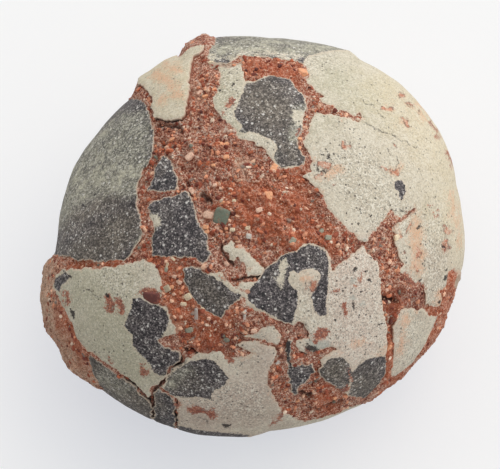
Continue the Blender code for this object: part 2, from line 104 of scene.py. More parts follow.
# %% The egg's rim on the sheet, clockwise from the crust at the top
RIM = [
    (-15.0, 66.8), (-12.7, 65.8), (-6.7, 66.2), (6.7, 65.5), (20.0, 64.2), (33.3, 61.2),
    (36.7, 58.2), (50.0, 50.2), (56.7, 43.2), (62.7, 34.8), (66.7, 26.5), (68.7, 16.5),
    (70.7, 6.5), (71.7, -5.2), (70.0, -14.5), (67.3, -22.5), (64.7, -29.2), (60.7, -36.2),
    (55.0, -42.5), (46.7, -50.5), (40.7, -55.2), (33.3, -58.5), (20.0, -63.2), (6.7, -65.5),
    (0.0, -67.5), (-6.7, -67.5), (-16.7, -66.8), (-28.3, -63.5), (-40.0, -57.8),
    (-50.0, -51.2), (-59.0, -45.8), (-63.3, -38.5), (-68.0, -31.2), (-69.7, -21.8),
    (-68.7, -13.5), (-68.0, -9.2), (-65.0, -6.5), (-64.3, -1.8), (-63.3, 6.5),
    (-61.7, 13.2), (-58.3, 23.2), (-51.3, 33.2), (-41.7, 43.5), (-39.0, 45.5),
    (-37.4, 50.7), (-32.7, 53.5), (-27.8, 57.1), (-23.6, 58.9), (-20.7, 63.8),
    (-18.3, 65.5),
]
BROAD_WAVES = 5                 # waves of the rim that shape the whole body, the rest only the rim
RIM_REACH = math.radians(13.0)  # how far the rim's own bumps reach to each side of it
RIM_SEARCH = np.radians(np.linspace(40.0, 120.0, 321))  # angles away at which it may be found
TURNS = np.radians(np.arange(0.0, 360.0, 1.0))
print("the rim is drawn through", len(RIM), "points")


# %% Directions, by the turn round the line of sight and the angle away from it
def unit(vectors):
    return vectors / np.linalg.norm(vectors, axis=-1, keepdims=True)


def from_angles(turn, away):
    """Directions, in the axes of the line of sight, from the turn round it and the angle away."""
    turn, away = np.broadcast_arrays(turn, away)
    return np.stack([np.sin(away) * np.cos(turn), np.sin(away) * np.sin(turn), np.cos(away)], -1)


def to_angles(directions):
    away = np.arccos(np.clip(directions[..., 2], -1.0, 1.0))
    return np.arctan2(directions[..., 1], directions[..., 0]) % math.tau, away


def round_turn(turn, values):
    """The value at each turn, from one value for each of TURNS."""
    return np.interp(turn, TURNS, values, period=math.tau)


def smooth_step(low, high, value):
    """0 below low, 1 above high and smooth between. It falls if high is the lower one."""
    t = np.clip((value - low) / (high - low), 0.0, 1.0)
    return t * t * (3.0 - 2.0 * t)


print("a quarter turn away is", from_angles(0.0, math.pi / 2.0).round(3).tolist())


# %% The flattened ball, and where its rim is seen
def ball_radius(directions):
    """Distance from the middle to the flattened ball."""
    world = directions @ SIGHT_TO_WORLD
    half_height = np.where(world[..., 2] > 0.0, CROWN_RISE, BELLY_DROP)
    half_sizes = np.stack([np.full_like(half_height, HALF_WIDTH),
                           np.full_like(half_height, HALF_DEPTH), half_height], -1)
    return 1.0 / np.linalg.norm(world / half_sizes, axis=-1)


def rim_of_ball(turns):
    """How wide the ball looks along each turn, and the angle away at which its rim lies."""
    directions = from_angles(turns[:, None], RIM_SEARCH[None, :])
    radius = ball_radius(directions)
    nearness = SIGHT_DISTANCE / (SIGHT_DISTANCE - radius * np.cos(RIM_SEARCH))
    width = radius * np.sin(RIM_SEARCH) * nearness
    best = width.argmax(axis=1)
    return width[np.arange(len(turns)), best], RIM_SEARCH[best]


print("toward the eye the ball is", ball_radius(np.array([0.0, 0.0, 1.0])).round(1), "mm thick")


# %% The egg's own rim
def rim_of_egg():
    """The egg's own rim: its width, the body's gain, the rim's own gain and the angle away."""
    offsets = np.array(RIM) - SHEET_MIDDLE
    turns = np.arctan2(offsets[:, 1], offsets[:, 0]) % math.tau
    order = turns.argsort()
    wanted = np.interp(TURNS, turns[order], np.linalg.norm(offsets, axis=1)[order],
                       period=math.tau)
    width, away = rim_of_ball(TURNS)
    gain = wanted / width - 1.0
    waves = np.fft.rfft(gain)
    waves[BROAD_WAVES + 1:] = 0.0
    broad = np.fft.irfft(waves, len(gain))
    return wanted, broad, gain - broad, away


RIM_WIDTH, BROAD_GAIN, OWN_GAIN, RIM_AWAY = rim_of_egg()
print(f"rim {RIM_WIDTH.min():.1f} to {RIM_WIDTH.max():.1f} mm from its middle")

# %% The skin
BODY_FADES_IN = (0.1, 0.8)      # shares of the way from the line of sight to the rim
BODY_FADES_OUT = (1.3, 0.5)     # radians behind the rim
RIM_CALM = 0.8                  # how much of the slow swells is missing on the rim


def past_rim(directions):
    """The angle by which each direction lies behind the rim, below 0 on the seen side."""
    turn, away = to_angles(directions)
    return away - round_turn(turn, RIM_AWAY)


def rim_share(directions):
    """1 on the rim, fading to 0 on both sides of it."""
    return np.exp(-(past_rim(directions) / RIM_REACH) ** 2)


def skin_radius(directions):
    """Distance from the middle to the outer skin: the ball, its broad shape and its rim."""
    turn, away = to_angles(directions)
    rim_away, broad, own = (round_turn(turn, values)
                            for values in (RIM_AWAY, BROAD_GAIN, OWN_GAIN))
    body_share = (smooth_step(*BODY_FADES_IN, away / rim_away)
                  * smooth_step(*BODY_FADES_OUT, away - rim_away))
    own_share = rim_share(directions)
    x, y, w = directions[..., 0], directions[..., 1], directions[..., 2]
    swell = SWELL * (np.sin(7.0 * x + 3.0 * w + 0.6) * np.cos(6.0 * y - 2.0 * x)
                     + 0.7 * np.sin(11.0 * y + 5.0 * w + 1.9) * np.cos(9.0 * x - 1.0))
    swell *= 1.0 - RIM_CALM * own_share
    return ball_radius(directions) * (1.0 + broad * body_share + own * own_share) + swell


print("toward the eye the skin is", skin_radius(np.array([0.0, 0.0, 1.0])).round(1), "mm away")

# %% Between the sheet and the skin
HALVINGS = 40                   # of the line on which the skin is searched
CLEAR_SHARE = 0.8               # this share of the way to the sheet is still in front of the egg


def from_sheet(points):
    """Directions from the egg's middle to where the sight lines through points meet the skin."""
    sheet = np.column_stack([np.array(points) - SHEET_MIDDLE, np.zeros(len(points))])
    along = sheet - EYE
    closest = -(along @ EYE) / (along * along).sum(axis=1)
    low, high = np.full(len(points), CLEAR_SHARE), closest
    for _ in range(HALVINGS):
        middle = (low + high) / 2.0
        place = EYE + along * middle[:, None]
        outside = np.linalg.norm(place, axis=1) > skin_radius(unit(place))
        low, high = np.where(outside, middle, low), np.where(outside, high, middle)
    return unit(EYE + along * high[:, None])


def to_sheet(directions):
    """Where each direction falls on the sheet. Behind the rim the sheet is folded outward, so a
    mark that is drawn across the rim runs on round the egg."""
    places = directions * skin_radius(directions)[:, None]
    nearness = SIGHT_DISTANCE / (SIGHT_DISTANCE - places[:, 2:])
    offsets = EYE[:2] + (places[:, :2] - EYE[:2]) * nearness
    wide = np.linalg.norm(offsets, axis=1, keepdims=True)
    turn = np.arctan2(offsets[:, 1], offsets[:, 0]) % math.tau
    folded = 2.0 * np.maximum(round_turn(turn, RIM_WIDTH)[:, None], wide) - wide
    behind = past_rim(directions)[:, None] > 0.0
    return SHEET_MIDDLE + offsets * np.where(behind, folded, wide) / np.maximum(wide, 1e-6)


def to_world(directions, radius):
    """Places in metres, pressed flat where the egg rests and kept inside the solid's box."""
    places = directions @ SIGHT_TO_WORLD * radius[:, None]
    places = (places + (MIDDLE[0], MIDDLE[1], REST_HEIGHT)) * MM
    return np.clip(places, *SOLID_BOX)


there_and_back = to_sheet(from_sheet([(-30.0, 20.0), (40.0, -35.0)]))
print("sheet points come back as", there_and_back.round(2).tolist())

# %% [markdown]
# ## The plates of shell
#
# The shell broke into plates with sharp, slightly ragged edges. Each is drawn as an outline,
# "seen" on the sheet, and "behind" the rim in degrees: the turn round the line of sight and
# the angle away from it. Between the drawn corners the edge is then broken up by noise, as
# real shell breaks, because no hand would draw half a millimetre of crumbling.

# %% The outlines
PLATES = {
    "left flank": dict(
        seen=[(-65.2, -6.6), (-60, -7.8), (-57, -8.3), (-54, -8.5), (-51, -9.3), (-45, -8.8),
              (-42, -8.3), (-40.5, -7), (-38, -4), (-36.5, -2), (-36, 0), (-36.2, 3), (-37, 6),
              (-38, 10), (-37.5, 12.5), (-38, 16), (-36.5, 19), (-36, 21.5), (-34, 24),
              (-33, 26), (-32.3, 28.5), (-32.2, 34.5), (-32.9, 37.5), (-33.7, 40), (-34.5, 42.5),
              (-36.5, 45.2), (-39.7, 45.7)],
        behind=[(131, 99), (136, 113), (146, 119), (158, 112), (171, 121), (182, 113), (187, 97)]),
    "upper left": dict(
        seen=[(-38.4, 51.4), (-38, 50.2), (-36.3, 49.4), (-34.6, 48), (-33.2, 46.6), (-32.2, 45),
              (-32.1, 43.3), (-32.2, 41), (-31.4, 38.4), (-29, 37.6), (-26, 37.2), (-22.5, 37.8),
              (-21.3, 40), (-20.8, 43), (-20.2, 46), (-20, 50), (-20, 53), (-19, 57),
              (-18.3, 58.6), (-16.6, 59.3), (-15.2, 60.8), (-15, 62.3), (-20, 62), (-22, 61.2),
              (-24.2, 59.7)],
        behind=[(113, 101), (115, 111), (121, 109), (124.5, 99)]),
    "top": dict(
        seen=[(-11, 56.1), (-10, 53), (-10.5, 50), (-11, 48), (-12.5, 46), (-12.5, 44),
              (-11.5, 42), (-8, 38), (-4.4, 34.5), (-4, 32.5), (-2, 31.5), (1, 31), (5, 28.5),
              (7, 26), (7.8, 24.5), (9.5, 22.8), (12, 22.2), (16, 22.8), (18.3, 23.3),
              (18.8, 25.5), (17.2, 27.5), (16.3, 29.5), (16, 32.3), (17.3, 33.9), (17.7, 37),
              (18.2, 40), (19, 42.8), (18.3, 45), (17.3, 47.5), (15, 49.5), (13.5, 51.8),
              (10, 52.9), (7, 53.4), (1, 51.2), (-1.7, 51.2), (-2, 54), (-3.2, 57), (-7.5, 55.8)]),
    "right": dict(
        seen=[(-12.4, 66.5), (-13.2, 63.6), (-13.7, 61), (-14.7, 59.3), (-13, 58.2),
              (-11, 57.3), (-8, 57), (-5.5, 58.2), (-3, 59.6), (4, 59.4), (12, 58.6),
              (16, 58.2), (17.7, 57), (18.9, 55.5), (19.5, 53.5), (19.3, 51), (20.7, 49.5),
              (22.2, 47.6), (24.7, 46.2), (22.8, 45.6), (24.2, 44.2), (28, 43.2), (29.3, 41.5),
              (31.2, 41.3), (35, 40), (37, 41), (38, 39), (36, 37.7), (33.5, 38.9),
              (29.5, 39.9), (24, 40.5), (21.9, 41.4), (20.9, 40), (19.5, 37), (19.9, 34.2),
              (18.2, 32.8), (18, 31), (19, 29), (20, 27), (20.7, 25), (20, 23), (20.5, 21.2),
              (17.9, 19.4), (20.5, 17.3), (22.5, 15.5), (25, 11.5), (26.5, 7.5), (29.5, 5),
              (33, 1.5), (36.3, -1.2), (38, -2.3), (39, -1.9), (40, 0), (42, 1.5), (43.5, 3),
              (46, 7), (47.2, 8.2), (48.6, 6.4), (50.5, 5.3), (53, 7.3), (55.3, 8.9),
              (53, 6.4), (50, 3.9), (47.6, 2.3), (48.5, 0), (48.3, -2.5), (49.6, -6),
              (50.4, -8.4), (51.9, -10.2), (50.4, -12.4), (51.5, -15), (53.5, -16.4),
              (57.4, -17.3), (58.5, -19.5), (58.9, -21.5), (58.8, -23.4), (61, -23.9),
              (63.4, -23.5), (64.1, -21.5), (63.7, -19), (65.4, -17), (66.1, -14.5),
              (66.2, -12.1), (67.8, -11.7), (70.6, -12.6)],
        behind=[(351, 98), (357, 109), (8, 104), (22, 111), (36, 106), (49, 112), (62, 106),
                (76, 111), (90, 107), (100.5, 103)]),
    "small wedge": dict(
        seen=[(-29, 26.2), (-27.2, 25.6), (-26, 22.8), (-24.9, 20.5), (-24.4, 16.3),
              (-25.3, 14.9), (-27, 14.3), (-30, 14.2), (-34.8, 14.7), (-33.6, 16.3),
              (-32.4, 19), (-31.5, 22.5), (-30.3, 24.8)]),
    "left of the middle": dict(
        seen=[(-29.7, 12), (-27, 12.8), (-24, 13.6), (-22, 14.4), (-20.4, 13.8), (-19.6, 12),
              (-18, 8), (-17.6, 5.8), (-16.7, 3.5), (-15.3, 1.2), (-14.3, -1), (-14.3, -3.3),
              (-13, -6.6), (-13.8, -8.3), (-15.6, -9.5), (-17.3, -9), (-18.2, -7.6),
              (-24.5, -7.7), (-28, -7.4), (-32.8, -7), (-33, -4), (-32.4, -1), (-32, 2),
              (-33.2, 5), (-34, 9), (-32.5, 11)]),
    "lower left": dict(
        seen=[(-62, -11.6), (-57, -11.8), (-54, -11.3), (-46, -11), (-43, -10.7), (-41, -9.7),
              (-36, -8.4), (-34, -8.9), (-32, -10), (-30.5, -12), (-30, -15), (-29.3, -17),
              (-29.5, -19), (-30, -21), (-31, -22.5), (-28, -25), (-27, -27), (-26, -29.5),
              (-24.6, -31.2), (-25, -33), (-29, -34.5), (-30.5, -35.5), (-29.5, -37),
              (-27.5, -38), (-23.4, -39.4), (-22.7, -40.8), (-23.5, -42.6), (-27.2, -44.6),
              (-28.1, -46.8), (-29.3, -48.7), (-30.8, -50.1), (-32.9, -50.7), (-33.4, -52.3),
              (-33.1, -53.8), (-34.2, -54.4), (-36, -52.4), (-38.5, -49.6), (-42, -47.3),
              (-46, -44.5), (-50, -41.7), (-52, -40), (-54.3, -38.8), (-57.6, -35),
              (-59.3, -30.2), (-61.3, -25.8), (-64, -21), (-65.9, -17), (-65, -13.8)]),
    "lower left flank": dict(
        seen=[(-49.2, -51.6), (-51, -48.7), (-53.5, -43.7), (-54.3, -41), (-53.4, -40.2),
              (-50, -42.9), (-46, -45.8), (-42, -48.6), (-38.3, -51.1), (-36.6, -53.6),
              (-33.8, -55.9), (-32.7, -58.6), (-31.9, -62)],
        behind=[(241, 83), (237, 96), (231, 102), (226, 96), (224, 83)]),
    "lower left splinter": dict(
        seen=[(-30.9, -62.5), (-31.6, -59), (-32.2, -55), (-32.4, -53), (-30.2, -52),
              (-28, -53.6), (-25.3, -55.1), (-24.9, -57), (-25.1, -62), (-25.2, -64.3)],
        behind=[(246.5, 83), (246, 95), (243, 96), (242.4, 83)]),
    "bottom": dict(
        seen=[(-24, -64.7), (-24.2, -62), (-24, -57), (-24.5, -54.8), (-27.5, -52.7),
              (-30.1, -50.9), (-28.4, -49.2), (-27.2, -47), (-26.3, -45), (-24, -43.8),
              (-22.3, -42.7), (-21.4, -41.4), (-17, -39.9), (-10, -39.5), (-8.3, -41.3),
              (-6.5, -41.6), (-5, -40.8), (-2.5, -40.9), (1.5, -39.9), (-0.5, -39), (-5.3, -37),
              (-3, -36.2), (1.5, -35.7), (3.7, -36.4), (8.3, -38), (8.8, -39.3), (8, -43),
              (6.5, -44.7), (6, -50), (8, -54), (10.8, -59.5), (14, -60.6), (16, -61.8),
              (18, -62.6), (23, -61.3), (29, -59.6), (33, -57.8), (37, -56.6), (38.6, -57)],
        behind=[(302, 85), (295, 95), (285, 99), (271, 104), (258, 102), (250, 95), (248.6, 84)]),
    "lower tongue": dict(
        seen=[(-2.2, -34), (2, -32.8), (3.5, -31.8), (6, -30.7), (7.9, -30.9), (8.6, -32.2),
              (10.5, -34), (10.3, -35.8), (9.5, -36.9), (6.5, -36.1), (3, -34.8)]),
    "middle": dict(
        seen=[(-22.5, -12), (-21.5, -11), (-19.5, -10.7), (-16.5, -11), (-15.3, -12.2),
              (-12, -13.4), (-10.3, -12.7), (-9, -13), (-7, -16.3), (-5.6, -17.3), (-4, -16.8),
              (-2.8, -15.9), (0.8, -16.3), (2, -15.1), (3.7, -14), (4.9, -12.6), (5.4, -11.2),
              (8, -8.8), (11, -6.4), (13, -5.9), (15.5, -5.4), (17, -4), (19.5, -2.7),
              (22, -3.3), (24.5, -4.6), (26.5, -6.5), (27.2, -9), (27.5, -12.2), (30, -10),
              (34, -6.8), (36, -5), (38, -4.1), (40.7, -7.2), (42.7, -9.8), (43.3, -13.5),
              (43.7, -18.5), (44.3, -23.5), (45.3, -27.8), (46, -37), (45.5, -41),
              (45.5, -46), (44.2, -48.5), (40.9, -52.3), (38.3, -55), (34, -54.4), (30, -51.8),
              (28.5, -51.3), (25, -49), (23.6, -47.4), (23.2, -45.5), (24.2, -44), (24, -42),
              (25.5, -40.3), (28.8, -38.5), (27.5, -37.8), (21.5, -39.5), (18.5, -39.7),
              (16.5, -39), (15.6, -37.3), (15.9, -35.8), (19.5, -34.6), (20, -33.5),
              (17.8, -30.3), (16.5, -29.4), (13.5, -30.2), (11, -29.6), (6, -27), (2, -25.7),
              (0.5, -24.4), (-1, -24), (-1.8, -21.5), (-2.6, -20.9), (-6, -23.5), (-8.5, -26.5),
              (-9.5, -28.2), (-11, -27.3), (-15, -25.5), (-16.5, -24), (-18.5, -22),
              (-21.3, -17.5), (-22, -15)]),
    "hooked sliver": dict(
        seen=[(11.9, -36), (13.2, -34.8), (14.6, -35.3), (13.3, -36.8), (13.9, -41),
              (13.4, -42.5), (14.2, -43.7), (19, -43.7), (20.5, -43.4), (22.1, -45.8),
              (18, -49.4), (16.5, -51.3), (15.8, -53), (14.8, -54), (13.2, -49.5),
              (12.4, -44), (12.2, -40)]),
    "lower right": dict(
        seen=[(49.9, -25.4), (48.1, -31), (47.9, -37), (47.6, -43), (46.9, -46.3), (47.3, -47.8),
              (50.5, -46), (54, -43), (57, -39.3), (60.8, -31.5), (62.6, -27.4), (60, -26.9),
              (58.7, -25.2), (54, -24.7), (51.5, -24.6)]),
    "chip in the middle": dict(
        seen=[(-8.8, -3.6), (-6.5, -2), (-5.1, -2.8), (-4.8, -4.3), (-1.2, -5.3), (1.2, -8.5),
              (4.2, -11.4), (3.9, -12.6), (1, -14.2), (-0.7, -14.1), (-1.6, -12.8),
              (-1.6, -11), (-4.1, -8), (-5.5, -8.8), (-7, -8.4), (-7, -6.5), (-8.6, -5.2)]),
    # The rest lies behind the rim
    "back": dict(behind=[(78, 117), (96, 113), (110, 121), (107, 138), (88, 147), (71, 139)]),
    "back right": dict(behind=[(25, 119), (46, 117), (66, 114), (68, 128), (55, 143), (32, 139)]),
    "back left": dict(behind=[(116, 112), (132, 121), (147, 125), (141, 143), (118, 146)]),
    "right flank": dict(behind=[(337, 106), (351, 113), (8, 112), (18, 120), (14, 134), (350, 137),
                                (335, 124)]),
    "left under": dict(behind=[(156, 127), (178, 126), (192, 117), (205, 122), (198, 137),
                               (168, 141)]),
    "left edge": dict(behind=[(194, 101), (205, 98), (217, 101), (214, 113), (201, 112)]),
    "front right": dict(behind=[(309, 92), (324, 94), (331, 104), (322, 112), (308, 106)]),
}
print(len(PLATES), "plates,", sum("seen" in plate for plate in PLATES.values()), "of them seen")

# %% How the plates lie, and how ragged their edges are
OVERLAPPING = ["upper left"]    # plates that ride above their neighbours
BEHIND_PIECE = 5.0              # degrees between the corners of a plate's edge behind the rim
BEHIND_RAGGED = 0.9             # degrees that this edge wanders
EDGE_PIECE = 0.35               # mm between the points of a broken edge
EDGE_RAGGED = ((4.0, 0.42), (1.6, 0.34), (0.8, 0.24))   # sizes of noise, and how far each moves it
EDGE_SEED = 40


# %% A flat chart of the whole egg, on which small shapes keep their angles
def to_chart(directions):
    return directions[..., :2] / (1.0 + directions[..., 2:])


def from_chart(points):
    square = (points * points).sum(axis=1, keepdims=True)
    return np.hstack([2.0 * points, 1.0 - square]) / (1.0 + square)


print("on it the rim lies about", to_chart(from_angles(0.0, RIM_AWAY[0]))[0].round(2),
      "from the middle")


# %% The drawn corners of a plate
def ragged_run(corners, closed, seed):
    """A plate's edge behind the rim: its corners in degrees, with wandering points between."""
    wander = random.Random(seed)
    pairs = list(zip(corners, corners[1:] + corners[:1]))
    if not closed:
        pairs = pairs[:-1]
    angles = []
    for (turn, away), (next_turn, next_away) in pairs:
        turn_step = (next_turn - turn + 180.0) % 360.0 - 180.0
        length = math.hypot(turn_step * math.sin(math.radians(away)), next_away - away)
        count = max(1, round(length / BEHIND_PIECE))
        for i in range(count):
            shift = BEHIND_RAGGED * wander.uniform(-1.0, 1.0) if i else 0.0
            angles.append((turn + turn_step * i / count + shift,
                           away + (next_away - away) * i / count + shift))
    if not closed:
        angles.append(corners[-1])
    angles = np.radians(np.array(angles))
    return from_angles(angles[:, 0], angles[:, 1])


def drawn_edge(name, number):
    """A plate's corners as directions, counter-clockwise on the chart."""
    plate = PLATES[name]
    runs = []
    if "seen" in plate:
        runs.append(from_sheet(plate["seen"]))
    if "behind" in plate:
        runs.append(ragged_run(plate["behind"], "seen" not in plate, number))
    edge = np.concatenate(runs)
    x, y = to_chart(edge).T
    clockwise = (x * np.roll(y, -1) - y * np.roll(x, -1)).sum() < 0.0
    return edge[::-1] if clockwise else edge


# %% Breaking the edges
NOISE_GAIN = 1.6                # brings Blender's noise up to about -1 to 1
SEED_SHIFT = (17.3, 5.9, 11.1)  # how far apart two seeds look at the noise


def wobble(directions, size, seed):
    """Smooth noise from about -1 to 1 over the egg, with lumps of this size in mm."""
    shift = Vector([seed * step for step in SEED_SHIFT])
    scale = HALF_WIDTH / size
    return NOISE_GAIN * np.array([noise.noise(Vector(d) * scale + shift) for d in directions])


def broken_edge(edge):
    """Splits a drawn edge into short pieces and moves each point sideways by noise."""
    points = []
    for start, end in zip(edge, np.roll(edge, -1, axis=0)):
        count = max(1, round(np.linalg.norm(end - start) * HALF_WIDTH / EDGE_PIECE))
        share = np.arange(count)[:, None] / count
        points.append(start * (1.0 - share) + end * share)
    points = unit(np.concatenate(points))
    along = unit(np.roll(points, -1, axis=0) - np.roll(points, 1, axis=0))
    outward = np.cross(along, points)
    aside = sum(reach * wobble(points, size, EDGE_SEED + i)
                for i, (size, reach) in enumerate(EDGE_RAGGED))
    return unit(points + outward * (aside / HALF_WIDTH)[:, None])


PLATE_NAMES = list(PLATES)
EDGES = [broken_edge(drawn_edge(name, number)) for number, name in enumerate(PLATE_NAMES)]
OUTLINES = [to_chart(edge) for edge in EDGES]
print(len(EDGES), "plates,", sum(map(len, EDGES)), "points on their edges")

# %% [markdown]
# ## Marks on the crust
#
# Where the crust has flaked off, the bare shell shows nearly black with pale specks. Iron from
# the sandstone has stained the crust in places, and cracks and pits cross it. Each mark is drawn
# on the sheet as a filled patch or as a stroke with a width, and every point of the skin will
# store how deep it lies inside the nearest mark of each kind. A picture could hold the same, but
# the depth of a mark stays sharp at any distance, and the material can crumble its border with
# noise. Most marks are colour alone. Only three kinds also shape the skin: bare shell lies a
# hair lower than the crust, a groove is cut into the sandstone, and where a mark says "level"
# the sandstone comes up level with the shell.

# %% Patches: closed outlines on the sheet, by what shows in them
PATCHES = {
    "bare": [
        # on the top plate
        [(-2, 49), (-1.5, 50.3), (2, 51), (4, 52), (7, 53), (10, 52.5), (13, 52), (14.5, 50),
         (16, 48.5), (17.5, 46.5), (18.3, 44), (19.4, 42.5), (18.8, 41), (17.5, 40), (16.5, 38.8),
         (17.2, 37.5), (18, 36), (17.8, 34), (17.2, 32.5), (16.6, 31), (17, 29.5),
         (17.5, 27.8), (19, 26.8), (19.6, 25), (18, 23), (15, 23.3), (12, 22.5), (10, 23),
         (8.5, 24.5), (7.8, 26), (8.5, 27.5), (9.2, 29.5), (8, 31), (6, 32), (3, 33.5),
         (0, 34.5), (-2, 34), (-3.5, 34.3), (-2.5, 36), (-3.5, 37.5), (-5, 39), (-5, 41.5),
         (-3.8, 43.5), (-3, 46), (-2, 48)],
        # the grey band along the top
        [(-15, 60.5), (-12, 56.8), (-8, 55.8), (-5, 57.2), (-2.5, 59.3), (4, 59.3),
         (12, 58.3), (17.5, 57), (19, 59.5), (23, 60.5), (28, 61.6), (34, 61.5), (35, 66),
         (31, 69), (26, 68.5), (20, 72), (14, 71), (8, 74.5), (2, 73), (-4, 75), (-9, 72),
         (-15, 71.5)],
        # on the lower left plate
        [(-39.3, -21.2), (-36.7, -21.2), (-33.3, -23.2), (-30, -23.8), (-28, -25.8),
         (-27, -28.5), (-28, -31.8), (-30, -34.5), (-28.3, -36.8), (-25, -38.2),
         (-22.7, -40.2), (-22.3, -42.5), (-24.7, -44.5), (-27.3, -46.5), (-30, -47.2),
         (-32, -45.8), (-34, -42.5), (-36.7, -39.8), (-39, -37.2), (-39.3, -33.8),
         (-42, -30.5), (-40.7, -27.2), (-39.3, -23.8)],
        [(-62.5, -11.5), (-60, -14), (-61.5, -16), (-63, -17), (-63.5, -19), (-65, -18),
         (-66, -16), (-65, -14.5), (-62, -13)],
        # on the bottom plate, and the strip along its lower rim
        [(-22.3, -43.8), (-20, -42.2), (-15, -41.5), (-11.7, -42.5), (-9.7, -44.8),
         (-7, -47.8), (-8.7, -50.5), (-12.3, -52.5), (-13, -54.2), (-12.3, -55.2),
         (-16.7, -54.2), (-21.7, -54.2), (-26.7, -53.8), (-29.3, -52.8), (-28.3, -50.5),
         (-27.3, -47.8), (-25, -45.5)],
        [(-28, -63.2), (-14, -65.6), (-3, -66.6), (0, -67), (-1.5, -68), (-5, -68.6),
         (-7.5, -70.4), (-11, -69.6), (-14, -72), (-18, -70.6), (-20, -73), (-24, -71.4),
         (-26, -69.4), (-31, -68.5)],
        # on the middle plate, left, right, and the two at its foot
        [(-22.5, -12), (-22, -11.2), (-20, -10.7), (-18, -10.8), (-16.5, -11), (-15.5, -12.3),
         (-14, -13.4), (-12, -14), (-11, -15.3), (-9.5, -15.6), (-8.3, -17), (-6.5, -18.5),
         (-5, -19.3), (-3, -20), (-3, -21), (-4.5, -22.2), (-6, -23.5), (-7, -24.8),
         (-8.5, -26.5), (-9.5, -28.2), (-11, -27.3), (-13, -26.5), (-15, -25.5), (-16.5, -24),
         (-18.5, -22), (-20, -19.5), (-21.3, -17.5), (-22, -15)],
        [(-1, -19.5), (0, -18.5), (2, -16.2), (4, -13.5), (5, -11.5), (8.3, -9.2), (11, -6.8),
         (13.7, -6.2), (15.7, -5.8), (17.3, -4.2), (20, -3.2), (22.7, -4.2), (25, -5.5),
         (26, -7.8), (26.3, -11.8), (26, -15.2), (25.7, -20.2), (25.3, -23.5), (25.7, -26.5),
         (23.3, -27.2), (21.7, -25.5), (21, -22.8), (20.3, -20.8), (21.7, -17.8), (23, -15.5),
         (23.7, -13.5), (22.3, -11.8), (20, -11.2), (17.3, -11.8), (15.7, -12.8),
         (14.3, -11.8), (13.3, -12.5), (12.7, -15.2), (14, -17.5), (15.7, -18.5), (16, -21.2),
         (15.7, -23.8), (14.9, -26.4), (13.6, -31.5), (12, -30.2), (10, -28.4), (7.3, -26.9),
         (4.3, -25.4), (2, -24.2), (-0.6, -22)],
        [(22.8, -45.8), (25.5, -42), (28.3, -41), (31.3, -41.2), (33.4, -43.6), (34, -46.2),
         (33, -49.5), (32, -52.5), (29.5, -53), (27, -52), (24.8, -49.3), (22.8, -47.4)],
        [(33.6, -46.5), (36.5, -43.4), (39.3, -41.6), (42.3, -41), (45.6, -40.5), (46.4, -43),
         (46, -45.8), (45, -48.5), (42.7, -51.2), (40.7, -52.8), (38.3, -55.2), (35, -55.5),
         (33, -53.8), (33.3, -51.2), (34, -48.5)],
        # the dark fleck on the right
        [(48.3, 17.6), (50.2, 18.3), (51.6, 16.6), (51.8, 13.6), (50.6, 11.5), (49.5, 12.6),
         (49.8, 14.2), (48.3, 15.4)],
    ],
    "crust": [
        # pale islands on bare shell
        [(-34, 7), (-31, 7.3), (-29, 5), (-30, 3), (-31.5, 1.4), (-33, 3)],
        [(14, 41.5), (17, 41.5), (20, 40), (19, 36), (16, 36), (13.5, 38)],
        [(9.5, -8.5), (12, -7.8), (13.2, -10), (12, -12.5), (11.8, -16.5), (10.5, -19),
         (9.3, -16), (7.5, -14.5), (10, -12.5), (8.8, -10.5)],
    ],
    "veil": [
        # a thin greenish coat on the left flank's upper part
        [(-70, -4), (-63, 2), (-58, 8), (-52, 11), (-46, 14), (-40, 12), (-36, 12), (-35, 21),
         (-33, 28), (-32, 36), (-35, 42), (-43, 41), (-50, 36), (-60, 31), (-72, 13)],
    ],
}

